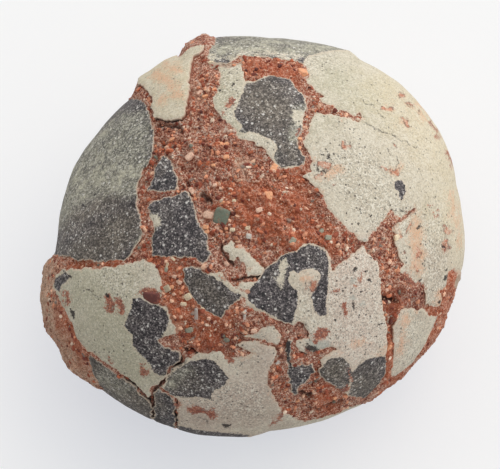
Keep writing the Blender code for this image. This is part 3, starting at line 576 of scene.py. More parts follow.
# %% Strokes: a width in mm, then the points that it follows
STROKES = {
    "crack": [
        # hairlines in the crust
        (0.5, (38, 38), (41.5, 35.5), (45, 34.2), (47, 33.3), (49, 32.3), (51, 31.5), (53, 30.3),
         (56, 29)),
        (0.4, (35.5, 47), (38, 44.5), (41, 42.5), (43, 41), (44.5, 38.5)),
        (0.4, (46.5, 28.5), (48, 26), (48.7, 23)),
        (0.5, (-57, -18), (-53, -18), (-50, -21)), (0.4, (-43, -35.7), (-40, -35.7)),
        (0.6, (-32.7, -57.8), (-33, -54.5), (-32.3, -52.2), (-30.3, -50.8), (-29, -49.8),
         (-27.3, -47.2), (-26.7, -44.8), (-23.3, -43.5), (-21.7, -41.5), (-19.7, -39.5)),
        (0.5, (-4, -43.5), (-1, -42.8)), (0.4, (-18, -61.5), (-13, -62.3)),
        (0.4, (-3, -57), (0, -57.6)), (0.4, (-12, -54), (-9.5, -54.6)),
        (0.4, (-47.7, 2.8), (-44, 5.5)), (0.4, (-55.3, -3.2), (-51, -1.2), (-46.7, 1.5)),
        (0.4, (-54, 2), (-49, 5.2)), (0.4, (-37, 17), (-35, 19.5)), (0.4, (-50, 30), (-44, 32)),
    ],
    "black": [
        (0.5, (24, 27)), (0.5, (25.4, 26.6), (26, 26.2)), (0.5, (27.4, 27.3)), (0.5, (29, 26.7)),
        (0.4, (22, 24), (23, 22), (25, 21)), (0.6, (25.5, 28.2)), (0.5, (28, 25.7)),
        (0.5, (26.6, 25.3)), (0.4, (24.7, 25.4)), (0.5, (30.3, 28)), (0.4, (23.2, 28.3)),
        # dots in the crust on the right
        (0.7, (44.7, 8.8)), (0.8, (46.8, 8.5)), (0.7, (47, 9.8)), (0.7, (50, 8.5)),
        (0.7, (40.2, 6.8)), (0.6, (39.5, 1.2)), (0.6, (43.5, 3)), (0.7, (31.8, 7)),
        (0.6, (34.7, 6.5)), (0.7, (36.2, 3.5)), (0.6, (62, 12.7)), (0.7, (50.3, 11.5)),
        (1.1, (56, 2), (56.8, 2.8)), (0.5, (53, -4), (54, -4.8)), (1.6, (65, -14)),
        (0.9, (57.3, -15.5)), (1.0, (62.7, -21.8)), (0.6, (59.5, 2)), (0.6, (58.5, -10.5)),
        (0.8, (65.2, -11.5)), (0.6, (60.5, -18)), (0.6, (65, -4)),
        # on the middle plate
        (0.8, (35, -12)), (0.9, (40.2, -16)), (0.7, (40.7, -8.5)), (0.7, (33, -13.8)),
        (0.6, (36, -6)), (0.6, (38, -6)), (0.6, (42, -29.7), (44, -29.3)), (0.8, (35.2, -31.5)),
        (0.9, (29, -34.5)), (0.6, (39.5, -12.5)), (0.6, (31, -19.5)), (0.6, (37, -19)),
        (0.7, (33, -27)), (0.5, (40.5, -24)), (0.7, (28.5, -29)), (0.6, (36.5, -27.5)),
        (1.6, (18.8, -37.2), (21, -37.5), (23.2, -38.5)), (0.7, (17, -39.5), (20, -41), (24, -41)),
        (1.3, (12.2, -36.5), (12.3, -38.5)), (1.2, (12.3, -40), (12.5, -41.5)),
        (0.7, (13, -42.5), (13.3, -44)), (0.5, (34.2, -22.5), (34.6, -26)),
        # on the lower left plate and below it
        (1.0, (-62, -14.5)), (1.0, (-60.5, -13.5)), (0.9, (-63.5, -20.5)),
        (1.1, (-59.5, -25), (-58.7, -27.5)), (0.8, (-48, -19.6), (-47.2, -21)),
        (0.7, (-31, -62), (-30.9, -58)), (0.6, (-24.6, -64), (-24.4, -58)),
        (0.9, (-9, -63.3), (-6.5, -63.3)),
        (1.3, (-39.4, 10.8), (-38.7, 9.6)), (0.8, (-53, 13), (-52.2, 13.6)),
        (0.7, (-56, 9), (-55.4, 9.5)), (0.7, (-49.3, 3)), (0.8, (-35.5, 22)),
        (0.9, (-9.6, 48.5)), (0.9, (-6.3, 49.8)), (0.6, (-10.2, 50.2)), (0.6, (-7.2, 54.5)),
    ],
    "rust": [
        (1.0, (60, 37), (62, 35), (62.7, 32)), (0.9, (66, 27), (68, 23)),
        (1.6, (-36.5, -19.3), (-33, -18.6), (-30.5, -19.4)), (0.6, (48, 3), (51, 5.5), (55.3, 8.8)),
        (0.5, (60, 10)), (0.6, (61.5, 8)), (0.6, (62.2, 6.4)), (0.8, (65.5, -3.5), (65.3, -5)),
        (0.8, (35, -17), (37, -15.5), (38, -12)), (1.4, (31.5, -23), (31.6, -27.5)),
        (1.0, (27, -18.5), (30, -18.7)), (1.8, (20.5, -17.8), (21.6, -16.2)),
        (3.2, (15.5, -32), (18.5, -33)), (3.6, (23.2, -33), (25, -32.5)),
        (2.0, (22, -35)), (2.2, (18.2, -38.3), (19.3, -38.8)),
        (3.0, (-47.6, -21.5), (-46.3, -25)), (2.4, (-43.8, -22.2), (-43, -25.2)),
        (2.2, (-35.8, -43), (-34.8, -47)), (1.5, (-61.5, -19.8), (-61, -23)),
        (0.9, (-47, -40.5), (-46, -43)), (1.8, (-24.8, -56.2), (-24.2, -57.2)),
        (2.4, (-19.5, -58), (-16, -58.8), (-12, -59.8)), (1.8, (-8.3, -40.9), (-5.8, -41.7)),
        (0.8, (6.5, -63.3), (8.5, -62), (11, -60)), (1.4, (60, -25), (63.5, -26.3)),
        (2.2, (-7.5, 43.6), (-6.8, 45)), (0.7, (-9.2, 40.5)), (1.0, (16.8, 33), (17.2, 35.5)),
        (0.9, (-9.5, -13.8), (-6.5, -16.2)), (0.8, (-4, -17.6), (-1.5, -18.8)),
        (1.3, (28.5, -53.2), (33, -51.5)), (0.8, (33.6, -44.5), (34.2, -49)),
        (3.4, (51.3, -14.8), (54, -16.6), (57, -18)),
    ],
    "chip": [
        (1.6, (45, 42.9), (46.7, 42)), (1.1, (49.6, 46.3), (50.5, 46)), (0.9, (34, 18.5)),
        (1.0, (52.3, 43.4), (54, 42.5)), (1.4, (51.3, 38.3), (52, 36.7)), (1.1, (48.3, 29.6)),
        (1.3, (31.5, 31.3), (31.6, 29.8), (33, 29.3)), (1.9, (47.7, 21), (49, 21.4)),
        (0.8, (44.3, 22.6), (46, 21.3)), (2.8, (24.6, 23.4), (25.4, 23)),
        (1.6, (22.5, 19.7), (23.5, 20.4)), (1.3, (27.2, 17.1), (28.3, 17.5)), (1.0, (60.5, 38.5)),
        (1.0, (56.5, 41)), (2.0, (20.8, -17.3), (21.4, -16.2)), (1.4, (-6.9, 43.2)),
        (0.9, (51.5, 8.2)), (1.1, (53.4, 3.4), (52.6, 1.4)), (1.0, (50.8, -6)),
        (1.1, (56.2, -3.5), (56, -7.5)),
        (2.4, (48, -0.3), (50.4, -1)), (1.2, (55.8, -9.5), (56, -12)),
        (1.5, (65.3, 2.4), (66.2, 0.8)), (1.2, (65.3, -1.6), (65.6, -3.4)),
    ],
    "ochre": [
        (5.0, (-30, 52), (-26, 50), (-24, 46)), (4.0, (-27, 56), (-23, 54)), (4.5, (-28, 44)),
        (2.0, (45, 43.5), (48, 41.5)), (1.8, (49, 46), (51, 46)), (1.6, (52, 43.7), (54, 42.3)),
        (2.2, (56, 43), (58, 38.5)), (1.6, (51, 38), (52, 36)), (3.0, (47.5, 20.5), (49.5, 22)),
        (3.0, (23, 19), (27, 20.5), (30, 22)), (4.0, (47.5, 0), (50.5, 0)),
        (4.0, (57, 2), (56.5, -12)), (5.0, (55.6, 4), (55.9, -11)), (2.2, (69, 10), (70, -4)),
        (3.5, (18.5, -14), (21.5, -14)), (3.5, (30, -52.5)),
        (3.5, (42.5, -40.5), (45.5, -39)), (4.0, (63, -19), (62, -22)), (2.0, (-23, -57)),
        (2.2, (34, -36), (38, -36)), (2.6, (67, 14), (69, 0)), (3.0, (52, -27), (50, -40)),
        (6.0, (-61, 24), (-62, 10)), (2.2, (24, -40.5), (28.5, -38.5)),
    ],
    "brown": [
        # browner bare shell
        (16.0, (3, 46), (8, 40)), (8.0, (9, 32), (14, 26)), (10.0, (-5, 62), (5, 62)),
        (12.0, (38, -50)), (12.0, (28, -46)), (8.0, (-17, -16), (-12, -22)),
        (5.0, (-48, -46), (-38, -52)),
        (14.0, (-56, -8), (-42, 3)), (6.0, (-20, -48), (-26, -50)), (9.0, (-62, 4), (-46, 12)),
        (13.0, (-54, -44), (-44, -50), (-36, -55)),
    ],
    "yellow": [
        (16.0, (-30, 54), (-22, 54), (-26, 44)), (16.0, (46, 48), (58, 36), (66, 22)),
        (10.0, (64, 22), (66, 2)), (7.0, (68, 16), (69.5, -8)),
    ],
    "khaki": [
        (26.0, (-58, -14), (-48, -26), (-40, -44)), (8.0, (-36, 55)), (14.0, (28, 52), (40, 46)),
        (12.0, (-10, 56), (-8, 38)), (8.0, (22, 40)),
    ],
    "pink": [
        (26.0, (34, -12), (36, -36)), (18.0, (-16, -58), (4, -52), (8, -44)),
    ],
    "dirty": [
        (12.0, (-22, -60), (-6, -60), (6, -60)), (5.0, (3, -44), (6, -52)),
        (5.0, (-26, -41), (-20, -40)), (7.0, (61.5, -8), (61.5, -22)),
    ],
    "crust": [
        # the crumbly lower edge of the band at the top
        (2.0, (-13.6, 60), (-11, 58.6), (-8, 58.2), (-5, 59.4), (-2.5, 60.8), (4, 60.5),
         (12, 59.8), (16.5, 59)),
    ],
    "veil": [
        (4.5, (-5, 33), (2, 30.5), (7, 26)), (6.0, (17, 40), (16, 34)),
        (10.0, (-2, 65), (30, 64)), (5.0, (-13, 61), (-4, 63)), (1.6, (-33, 5)),
        (3.0, (-37, -6), (-34, 3)),
        (7.0, (-11, 62), (-4, 63), (6, 63.5), (20, 62.5)),
        (4.0, (-28, -50), (-22, -46)), (4.0, (-49, -46.5), (-42, -51.5)),
    ],
    "speckled": [
        (8.0, (4, 36), (12, 32)), (9.0, (-12, 59), (24, 60)),
        (24.0, (35, -14), (36, -30)), (8.0, (61.7, 3), (61.7, -22)), (9.0, (26, 24)),
        (16.0, (34, 22), (46, 6)), (7.0, (18, -20), (20, -32)), (7.0, (-57, 19), (-39, 19)),
        (9.0, (54, -30), (52, -42)),
        (8.0, (-8, 50), (-6, 42)), (10.0, (44, 9)), (9.0, (-46, -14), (-42, -18)),
        (5.0, (-37, -8), (-35, 4)), (4.0, (-60, -4), (-56, -8)), (12.0, (-16, -52), (0, -56)),
    ],
    "salted": [
        # white specks in the bare shell
        (6.0, (-36, -26), (-35, -34), (-28, -42)), (5.0, (-25, -48), (-11, -47)),
        (4.0, (-44, 4), (-41, -3)), (4.0, (-61, 5), (-62, -5)), (5.0, (-1, 37), (6, 36), (13, 33)),
        (3.0, (-28, -2), (-24, 8)), (3.0, (-31, 15), (-27, 17)),
        (5.0, (-14, 58), (-8, 57.5), (-2, 60), (6, 60), (12, 59.5), (18, 58.5)),
    ],
    "groove": [
        # cut into the sandstone, and painted nearly black inside as painted shadow in the deep gaps
        (1.0, (-23.5, -42), (-26.5, -47)), (1.3, (-28, -49), (-31.5, -51.8)),
        (1.8, (-31.5, -53), (-32.8, -57), (-33, -64)), (0.8, (-24.4, -54), (-24.4, -64)),
        (0.5, (-30, 31), (-28.5, 28), (-26, 25)), (0.5, (-22, 18), (-20.5, 16), (-18, 12.5)),
        (0.8, (-9, -4), (-8, -8), (-6.5, -10), (-6, -11.5)), (0.8, (-16, 13.5), (-14, 11)),
        (0.9, (-5.5, -16), (-2, -15.5), (0, -15.2), (1.5, -14), (3.5, -13.4)),
        (1.2, (-31, 36.6), (-27, 35.8), (-23, 36.2)), (1.4, (-22, -38.8), (-18, -39.5)),
        (1.8, (45.5, -21.8), (48.5, -22.5)),
        (1.5, (17, -52.5), (20, -54.5)), (0.8, (20, -58.5), (28, -56.5), (31, -55.5)),
        (2.0, (-41.5, -48.4), (-37.5, -50.4), (-35, -53), (-33.2, -55.3)),
    ],
    "level": [
        # where the sandstone comes up level with the shell
        (8.0, (-65, -15), (-62, -26), (-56, -37)),
        (4.0, (-64, -15), (-61, -26), (-54.5, -38), (-49, -43), (-43, -47.2)),
    ],
    "deep": [
        # painted shade: darker red where the sandstone lies in shadow
        (7.0, (49, -20), (56, -22)), (5.0, (47, -24), (47.5, -30)), (5.0, (-14, -38), (-4, -36)),
        (6.0, (-34, 28), (-30, 14)), (4.0, (-6, -2), (-8, 6)),
    ],
    "chalk": [
        # pale films over the sandstone
        (2.6, (70.2, -9), (70, -13), (68.4, -17.5)), (0.8, (46, -26), (46.5, -34)),
        (1.8, (-12.5, 57.5), (-8, 56.4), (-4.5, 57.4), (-2.6, 58.6)),
    ],
    "pale": [
        (5.0, (-3, 22), (-2, 24)), (4.0, (-14, 6.5)), (3.0, (-28, -26), (-24, -32)),
        (3.0, (-19, 50), (-17, 44)),
    ],
    "dust_and_rim_light": [
        # pale dust, painted lighter along the left rim as painted light wrapping round it
        (8.0, (-69, -10), (-68, -26)), (4.0, (-66, -30), (-60, -42), (-52, -50)),
        (4.0, (-64, -3), (-52, -8)),
    ],
    "warm": [
        (12.0, (-24, -20), (-22, -28)), (9.0, (-30, -9), (-24, -14)),
        (8.0, (-45, -9.5), (-58, -10)), (14.0, (-12, -24), (-14, -34)),
        (12.0, (8, 2), (24, -1)), (16.0, (-4, 10), (14, 9), (15, 0)),
        (6.0, (67, -12), (65, -22), (58, -34), (50, -44)), (7.0, (-63, -26), (-56, -42)),
        (10.0, (47, -22), (47, -45)), (9.0, (25, -56)), (8.0, (15, 20)), (8.0, (0, 56), (14, 54)),
    ],
    "cool": [
        (2.6, (38, -1.8)), (2.4, (35, -14.8)), (2.5, (37.3, -22.7)), (2.4, (33.8, -21.5)),
        (4.0, (21, -36), (26, -36.8)), (3.0, (2, -34)),
    ],
}


# %% Kinds of marks, on the shell and on the sandstone
MARK_KINDS = ("bare", "crust", "veil", "black", "crack", "rust", "ochre", "cool", "speckled",
              "salted", "brown", "khaki", "pink", "yellow", "dirty", "chip", "groove")
STONE_MARKS = ("groove", "pale", "warm", "dust_and_rim_light", "deep", "chalk")
TINTS = ("khaki", "pink", "yellow", "dirty", "brown", "speckled", "salted")  # these fade slowly
FAR, BROAD_FAR = 5.0, 12.0      # mm, deeper and further than any material looks
print("marks:", {kind: len(PATCHES.get(kind, [])) + len(STROKES.get(kind, []))
                 for kind in dict.fromkeys(MARK_KINDS + STONE_MARKS + ("level",))})


# %% Distances to lines and outlines
def segment_gaps(points, start, end):
    """How far each point is from the line between two others."""
    along = end - start
    length = max(along @ along, 1e-9)
    share = np.clip((points - start) @ along / length, 0.0, 1.0)
    return np.linalg.norm(points - start - share[:, None] * along, axis=1)


def inside(points, polygon):
    """Which points lie inside a closed outline."""
    within = np.zeros(len(points), bool)
    for (ax, ay), (bx, by) in zip(polygon, np.roll(polygon, -1, axis=0)):
        crosses = (ay > points[:, 1]) != (by > points[:, 1])
        rise = by - ay if by != ay else 1.0
        within ^= crosses & (points[:, 0] < ax + (points[:, 1] - ay) / rise * (bx - ax))
    return within


def near(points, corners, reach):
    """Which points lie in the corners' box, widened by a reach."""
    return ((points > corners.min(axis=0) - reach)
            & (points < corners.max(axis=0) + reach)).all(axis=1)


# %% How deep a point lies inside a mark
STROKE_WARP = ((3.6, 1.35), (1.3, 0.72))    # sizes of noise, and how far each bends a stroke
WARP_APART = 31.7                           # how far apart its layers look at the noise


def warped(points):
    """Sheet points moved about by noise, so that what is drawn as a stroke turns out uneven."""
    moved = np.array(points, float)
    for axis in (0, 1):
        for number, (size, reach) in enumerate(STROKE_WARP):
            offset = WARP_APART * (axis + 2 * number + 1)
            moved[:, axis] += reach * np.array(
                [noise.noise((x / size, y / size, offset)) for x, y in points])
    return moved


def depth_in_marks(points, kind):
    """How many mm each sheet point lies inside the marks of a kind, below 0 outside."""
    reach = BROAD_FAR if kind in TINTS else FAR
    deepest = np.full(len(points), -reach)
    for polygon in map(np.array, PATCHES.get(kind, [])):
        at = np.flatnonzero(near(points, polygon, reach))
        gap = np.min([segment_gaps(points[at], start, end)
                      for start, end in zip(polygon, np.roll(polygon, -1, axis=0))], axis=0)
        depth = np.where(inside(points[at], polygon), gap, -gap)
        deepest[at] = np.maximum(deepest[at], np.minimum(depth, reach))
    points = warped(points) if kind in STROKES else points
    for width, *corners in STROKES.get(kind, []):
        corners = np.array(corners, float)
        at = np.flatnonzero(near(points, corners, reach + width / 2.0))
        pairs = zip(corners, corners[1:]) if len(corners) > 1 else [(corners[0], corners[0])]
        gap = np.min([segment_gaps(points[at], start, end) for start, end in pairs], axis=0)
        deepest[at] = np.maximum(deepest[at], width / 2.0 - gap)
    return deepest


print("the middle of the maroon pebble's stain is",
      depth_in_marks(np.array([(-33.0, -18.6)]), "rust").round(1), "mm deep in rust")

# %% [markdown]
# ## Laying out the skin
#
# The plates' edges must be crisp, so they have to be edges of the mesh. On the flat chart that
# is a known job: a constrained Delaunay triangulation takes loose points and closed outlines,
# fills the plane with well-shaped triangles, and tells which outline each triangle lies in.
# The points are dense where there is something to show and sparse where there isn't.

# %% How fine the skin is, in millimetres between points
FINE, MEDIUM, COARSE = GRIDS = (0.5, 0.85, 1.5)
EDGE_BAND = 1.1                 # this close to a plate's edge the grid is fine
MARK_BAND = 0.8                 # and this close to the border of a mark
EDGE_CLEARANCE = 0.3            # from a plate's edge to the nearest other point
SEEN_REACH = math.radians(4.0)  # the fine grid goes this far behind the rim
FAR_LIMIT = math.radians(178.0)     # no grid point lies further away than this
SAME_POINT = 1e-7               # points of the chart nearer to each other than this are one


def spiral_points(spacing):
    """Directions spread evenly over a ball, about spacing apart on the egg."""
    mean_radius = (HALF_WIDTH * HALF_DEPTH * (CROWN_RISE + BELLY_DROP) / 2.0) ** (1.0 / 3.0)
    count = round(4.0 * math.pi * mean_radius ** 2 / (spacing ** 2 * math.sqrt(3.0) / 2.0))
    i = np.arange(count) + 0.5
    away = np.arccos(1.0 - 2.0 * i / count)
    turn = math.pi * (1.0 + math.sqrt(5.0)) * i
    return from_angles(turn, away)[away < FAR_LIMIT]


print("the coarse grid alone has", len(spiral_points(COARSE)), "points")


# %% Distances to the nearest edge of a plate
def near_edge_finder():
    """A function that gives the distance in mm from each direction to the nearest edge."""
    points = np.concatenate(EDGES)
    places = points * skin_radius(points)[:, None]
    tree = kdtree.KDTree(len(places))
    for i, place in enumerate(places):
        tree.insert(place, i)
    tree.balance()

    def distances(directions):
        places = directions * skin_radius(directions)[:, None]
        return np.array([tree.find(place)[2] for place in places])
    return distances


edge_distance = near_edge_finder()
print("the eye looks at a spot", edge_distance(np.array([[0.0, 0.0, 1.0]])).round(1)[0],
      "mm from the nearest edge")


# %% The points of the grid
def plate_at(chart):
    """The number of the plate that each point of the chart lies in, or -1 on sandstone."""
    plates = np.full(len(chart), -1)
    for number, outline in enumerate(OUTLINES):
        at = np.flatnonzero(near(chart, outline, 0.0) & (plates < 0))
        plates[at[inside(chart[at], outline)]] = number
    return plates


def wanted_grid(directions, to_edge):
    """Which of the grids each direction should have."""
    seen = past_rim(directions) < SEEN_REACH
    on_shell = plate_at(to_chart(directions)) >= 0
    sheet = to_sheet(directions)
    border = np.full(len(directions), FAR)
    for kind in ("bare", "black", "crack", "rust"):
        border = np.minimum(border, np.abs(depth_in_marks(sheet, kind)))
    fine = (to_edge < EDGE_BAND) | (seen & (~on_shell | (border < MARK_BAND)))
    coarse = ~seen & on_shell
    return np.where(fine, FINE, np.where(coarse, COARSE, MEDIUM))


def grid_points():
    """The points of all three grids, each where it is wanted and clear of the edges."""
    kept = []
    for spacing in GRIDS:
        points = spiral_points(spacing)
        to_edge = edge_distance(points)
        points, to_edge = points[to_edge > EDGE_CLEARANCE], to_edge[to_edge > EDGE_CLEARANCE]
        kept.append(points[wanted_grid(points, to_edge) == spacing])
    return np.concatenate(kept)


# %% Triangles, and the plate that each lies in
def lay_out():
    """Directions of all points, the triangles, and for each the plate's number or -1."""
    directions = np.concatenate(EDGES + [grid_points()])
    starts = np.cumsum([0] + [len(edge) for edge in EDGES])
    loops = [(i, i + 1 if i + 1 < end else start) for start, end in zip(starts, starts[1:])
             for i in range(start, end)]
    chart = [Vector(point) for point in to_chart(directions)]
    points, _, triangles, *_ = delaunay_2d_cdt(chart, loops, [], 0, SAME_POINT, True)
    chart, triangles = np.array([tuple(point) for point in points]), np.array(triangles)
    return from_chart(chart), triangles, plate_at(chart[triangles].mean(axis=1))


def once_only(triangles):
    """The directed edges that no neighbouring triangle shares."""
    edges = np.concatenate([triangles[:, [0, 1]], triangles[:, [1, 2]], triangles[:, [2, 0]]])
    size = edges.max() + 1
    return edges[~np.isin(edges[:, 0] * size + edges[:, 1], edges[:, 1] * size + edges[:, 0])]


DIRECTIONS, TRIANGLES, PLATE_OF = lay_out()
TO_EDGE = edge_distance(DIRECTIONS)
SHEET = to_sheet(DIRECTIONS)
SKIN = skin_radius(DIRECTIONS)
print(len(DIRECTIONS), "points,", (PLATE_OF < 0).sum(), "triangles of sandstone,",
      (PLATE_OF >= 0).sum(), "of shell")

# %% [markdown]
# ## Relief
#
# Sandstone breaks into lumps, pits and grooves of every size from a grain to a fingertip. The
# shell is nearly smooth: slow dimples, and an edge worn a little round. Both are sums of noise
# of several sizes, added straight out from the egg's middle. Beside a plate the sandstone comes
# down to the edge of the shell, so that no gap opens between them.

# %% Heights above and below the skin, in mm
STONE_LUMPS = ((9.0, 0.40), (5.0, 0.50), (2.4, 0.48), (1.3, 0.40), (0.8, 0.24))   # sizes, heights
SHELF_WAVES = ((10.0, 1.6), (4.0, 0.9))     # sizes, and how many shelves each raises
SHELF_FRONT = 0.25              # the share of a shelf that its front takes up
LEDGE_HEIGHT = 0.8
STONE_LEVEL = 0.75              # how far below the skin it mostly lies
FLUSH_BAND = 2.2                # mm from a plate's edge where it rises to meet the plate
FLUSH_SHARE, FLUSH_SIZE = 0.75, 8.0         # how far it rises, and the length of its ups and downs
FLUSH_MEAN, FLUSH_SWING = 0.6, 0.5          # the share of that on average, and how it varies
MEETING_BAND = 0.7              # mm from a plate's edge where it comes down to the shell, if higher
CALM = 0.45                     # how much flatter its lumps are there and on the rim
GROOVE_DEPTH, GROOVE_SIDES = 1.5, (-0.7, 0.5)       # mm, from the mark's border inward
LEVEL_SIDES = (-1.5, 0.3)
SHELL_LUMPS = ((6.0, 0.11), (2.0, 0.04), (0.9, 0.02))
EDGE_WEAR, EDGE_WEAR_BAND = 0.22, 0.45      # how far a plate's very edge is worn down, how wide
FLAKE_DEPTH, FLAKE_SIDES = 0.10, (-0.2, 0.3)        # the thickness of the crust that flaked off
STONE_SEED, SHELL_SEED, SHELF_SEED, FLUSH_SEED, BACK_SEED = 1, 11, 21, 9, 70


def relief(directions, lumps, seed):
    """Noise of several sizes, each with its own height."""
    return sum(height * wobble(directions, size, seed + i)
               for i, (size, height) in enumerate(lumps))


def ledges(directions):
    """Flat shelves with steep fronts, as bedded stone breaks, from 0 to about LEDGE_HEIGHT."""
    level = relief(directions, SHELF_WAVES, SHELF_SEED)
    shelf = np.floor(level)
    return LEDGE_HEIGHT * (shelf + smooth_step(0.0, SHELF_FRONT, level - shelf)) / 2.0


def stone_radius():
    """Distance from the middle to the sandstone, which never stands above the shell beside it."""
    rough = relief(DIRECTIONS, STONE_LUMPS, STONE_SEED) + ledges(DIRECTIONS)
    groove = smooth_step(*GROOVE_SIDES, depth_in_marks(SHEET, "groove"))
    uneven = FLUSH_MEAN + FLUSH_SWING * wobble(DIRECTIONS, FLUSH_SIZE, FLUSH_SEED)
    flush = FLUSH_SHARE * np.exp(-(TO_EDGE / FLUSH_BAND) ** 2) * uneven
    flush = np.maximum(flush, smooth_step(*LEVEL_SIDES, depth_in_marks(SHEET, "level")))
    level = -STONE_LEVEL * (1.0 - np.clip(rim_share(DIRECTIONS) + flush, 0.0, 1.0))
    rough *= 1.0 - CALM * np.maximum(flush, rim_share(DIRECTIONS))
    radius = SKIN + level + rough - GROOVE_DEPTH * groove
    over = np.maximum(radius - SHELL_RADIUS, 0.0) * smooth_step(MEETING_BAND, 0.0, TO_EDGE)
    return radius - over


def shell_radius():
    """Distance from the middle to the shell's outside."""
    wear = EDGE_WEAR * np.exp(-(TO_EDGE / EDGE_WEAR_BAND) ** 2)
    flaked = FLAKE_DEPTH * smooth_step(*FLAKE_SIDES, MARKS["bare"])
    return SKIN + relief(DIRECTIONS, SHELL_LUMPS, SHELL_SEED) - wear - flaked


print("shelves", np.ptp(ledges(DIRECTIONS)).round(2), "mm from the lowest to the highest")

# %% The marks of every point
BACK_FADE = (math.radians(2.0), math.radians(14.0))     # where the drawn marks give way to noise
BACK_MARKS = {"bare": (24.0, 0.25), "rust": (7.0, 0.72), "black": (3.0, 0.9), "veil": (20.0, 0.4),
              "ochre": (11.0, 0.45)}      # the size of the noise, and how much of it stays bare


def all_marks():
    """Depth inside each kind of mark. Behind the rim, where nothing is drawn, noise makes them."""
    behind = smooth_step(*BACK_FADE, past_rim(DIRECTIONS))
    marks = {}
    for seed, kind in enumerate(MARK_KINDS):
        marks[kind] = depth_in_marks(SHEET, kind)
        if kind in BACK_MARKS:
            size, share = BACK_MARKS[kind]
            noisy = (wobble(DIRECTIONS, size, BACK_SEED + seed) - share) * size / 2.0
            at_back = np.clip(noisy, -FAR, FAR) * behind - FAR * (1.0 - behind)
            marks[kind] = np.maximum(marks[kind], at_back)
    return marks


MARKS = all_marks()
SHELL_RADIUS = shell_radius()
STONE_RADIUS = stone_radius()
print("sandstone relief", np.ptp(STONE_RADIUS - SKIN).round(2), "mm from pit to lump")


# %% A piece of the egg
def make_piece(name, places, faces, attributes):
    """A smooth mesh object that rides on the egg's body and stands for its solid."""
    mesh = bpy.data.meshes.new(name)
    mesh.from_pydata(places.tolist(), [], faces.tolist())
    mesh.shade_smooth()
    for attribute, values in attributes.items():
        values = np.asarray(values, np.float32)
        kind, field = ("FLOAT", "value") if values.ndim == 1 else ("FLOAT_COLOR", "color")
        layer = mesh.attributes.new(attribute, kind, "POINT")
        layer.data.foreach_set(field, values.ravel())
    piece = bpy.data.objects.new(name, mesh)
    bpy.context.collection.objects.link(piece)
    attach(piece, "root")
    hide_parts("fossil_egg")
    print(name, len(mesh.polygons), "faces")
    return piece


# %% The sandstone
def make_sandstone():
    """All triangles outside the plates, and a fan that closes the chart far under the egg."""
    triangles = TRIANGLES[PLATE_OF < 0]
    hull = once_only(TRIANGLES)
    far_end = len(DIRECTIONS)
    fan = np.column_stack([hull[:, ::-1], np.full(len(hull), far_end)])
    directions = np.vstack([DIRECTIONS, [0.0, 0.0, -1.0]])
    radius = np.append(STONE_RADIUS, STONE_RADIUS[hull[0, 0]])
    used, faces = np.unique(np.vstack([triangles, fan]), return_inverse=True)
    attributes = {kind: np.append(depth_in_marks(SHEET, kind), -FAR)[used]
                  for kind in STONE_MARKS}
    return make_piece("sandstone", to_world(directions, radius)[used], faces.reshape(-1, 3),
                      attributes)


sandstone = make_sandstone()

# %% The shell
WALL_FOOT = 0.6                 # how far the plates' walls go down into the sandstone
DARK_PLATES = ["left flank", "small wedge", "left of the middle", "lower left flank",
               "lower left splinter", "hooked sliver", "left under", "front right"]


def make_shell():
    """The plates' tops, and walls from their edges down into the sandstone."""
    places, faces, points, walls, plates = [], [], [], [], []
    start = 0
    for number, name in enumerate(PLATE_NAMES):
        step = OVERLAP_STEP if name in OVERLAPPING else 0.0
        triangles = TRIANGLES[PLATE_OF == number]
        used, corners = np.unique(triangles, return_inverse=True)
        edge = once_only(triangles)
        ring, ends = np.unique(edge, return_inverse=True)
        ends = ends.reshape(-1, 2)
        upper, lower = start + len(used) + ends.T, start + len(used) + len(ring) + ends.T
        faces.append(start + corners.reshape(-1, 3))
        faces.append(np.column_stack([upper[1], upper[0], lower[0]]))
        faces.append(np.column_stack([upper[1], lower[0], lower[1]]))
        places += [to_world(DIRECTIONS[used], SHELL_RADIUS[used] + step),
                   to_world(DIRECTIONS[ring], SHELL_RADIUS[ring] + step),
                   to_world(DIRECTIONS[ring], STONE_RADIUS[ring] - WALL_FOOT)]
        points += [used, ring, ring]
        walls += [np.zeros(len(used)), np.full(len(ring), 0.5), np.ones(len(ring))]
        plates.append(np.full(len(used) + 2 * len(ring), number))
        start += len(used) + 2 * len(ring)
    points, plates = np.concatenate(points), np.concatenate(plates)
    attributes = {kind: depth[points] for kind, depth in MARKS.items()}
    dark = np.isin(plates, [PLATE_NAMES.index(name) for name in DARK_PLATES])
    attributes["bare"] = np.where(dark, FAR, attributes["bare"])
    attributes["to_edge"] = TO_EDGE[points]
    attributes["wall"] = np.concatenate(walls)      # 0 on top, 1 at the foot
    return make_piece("shell_plates", np.vstack(places), np.vstack(faces), attributes)


shell = make_shell()

# %% [markdown]
# ## Grains and pebbles
#
# Sand shows as sand because its grains catch the light one by one. The grains that stand out
# of the stone are small rough lumps with twenty sides, half sunk, thousands of them joined
# into one mesh. Particles could strew them, but a mesh of their own gives the same grains every
# time. The few pebbles among them are big enough to be known one by one, so each has its own
# place, size and colour, and a finer ball that is pushed a little toward a box.

# %% Kinds of grains
def linear(red, green, blue):
    """A colour as a screen shows it, from 0 to 255, as the light that a shader works with."""
    channels = (channel / 255.0 for channel in (red, green, blue))
    return (*(((c + 0.055) / 1.055) ** 2.4 if c > 0.04045 else c / 12.92 for c in channels), 1.0)


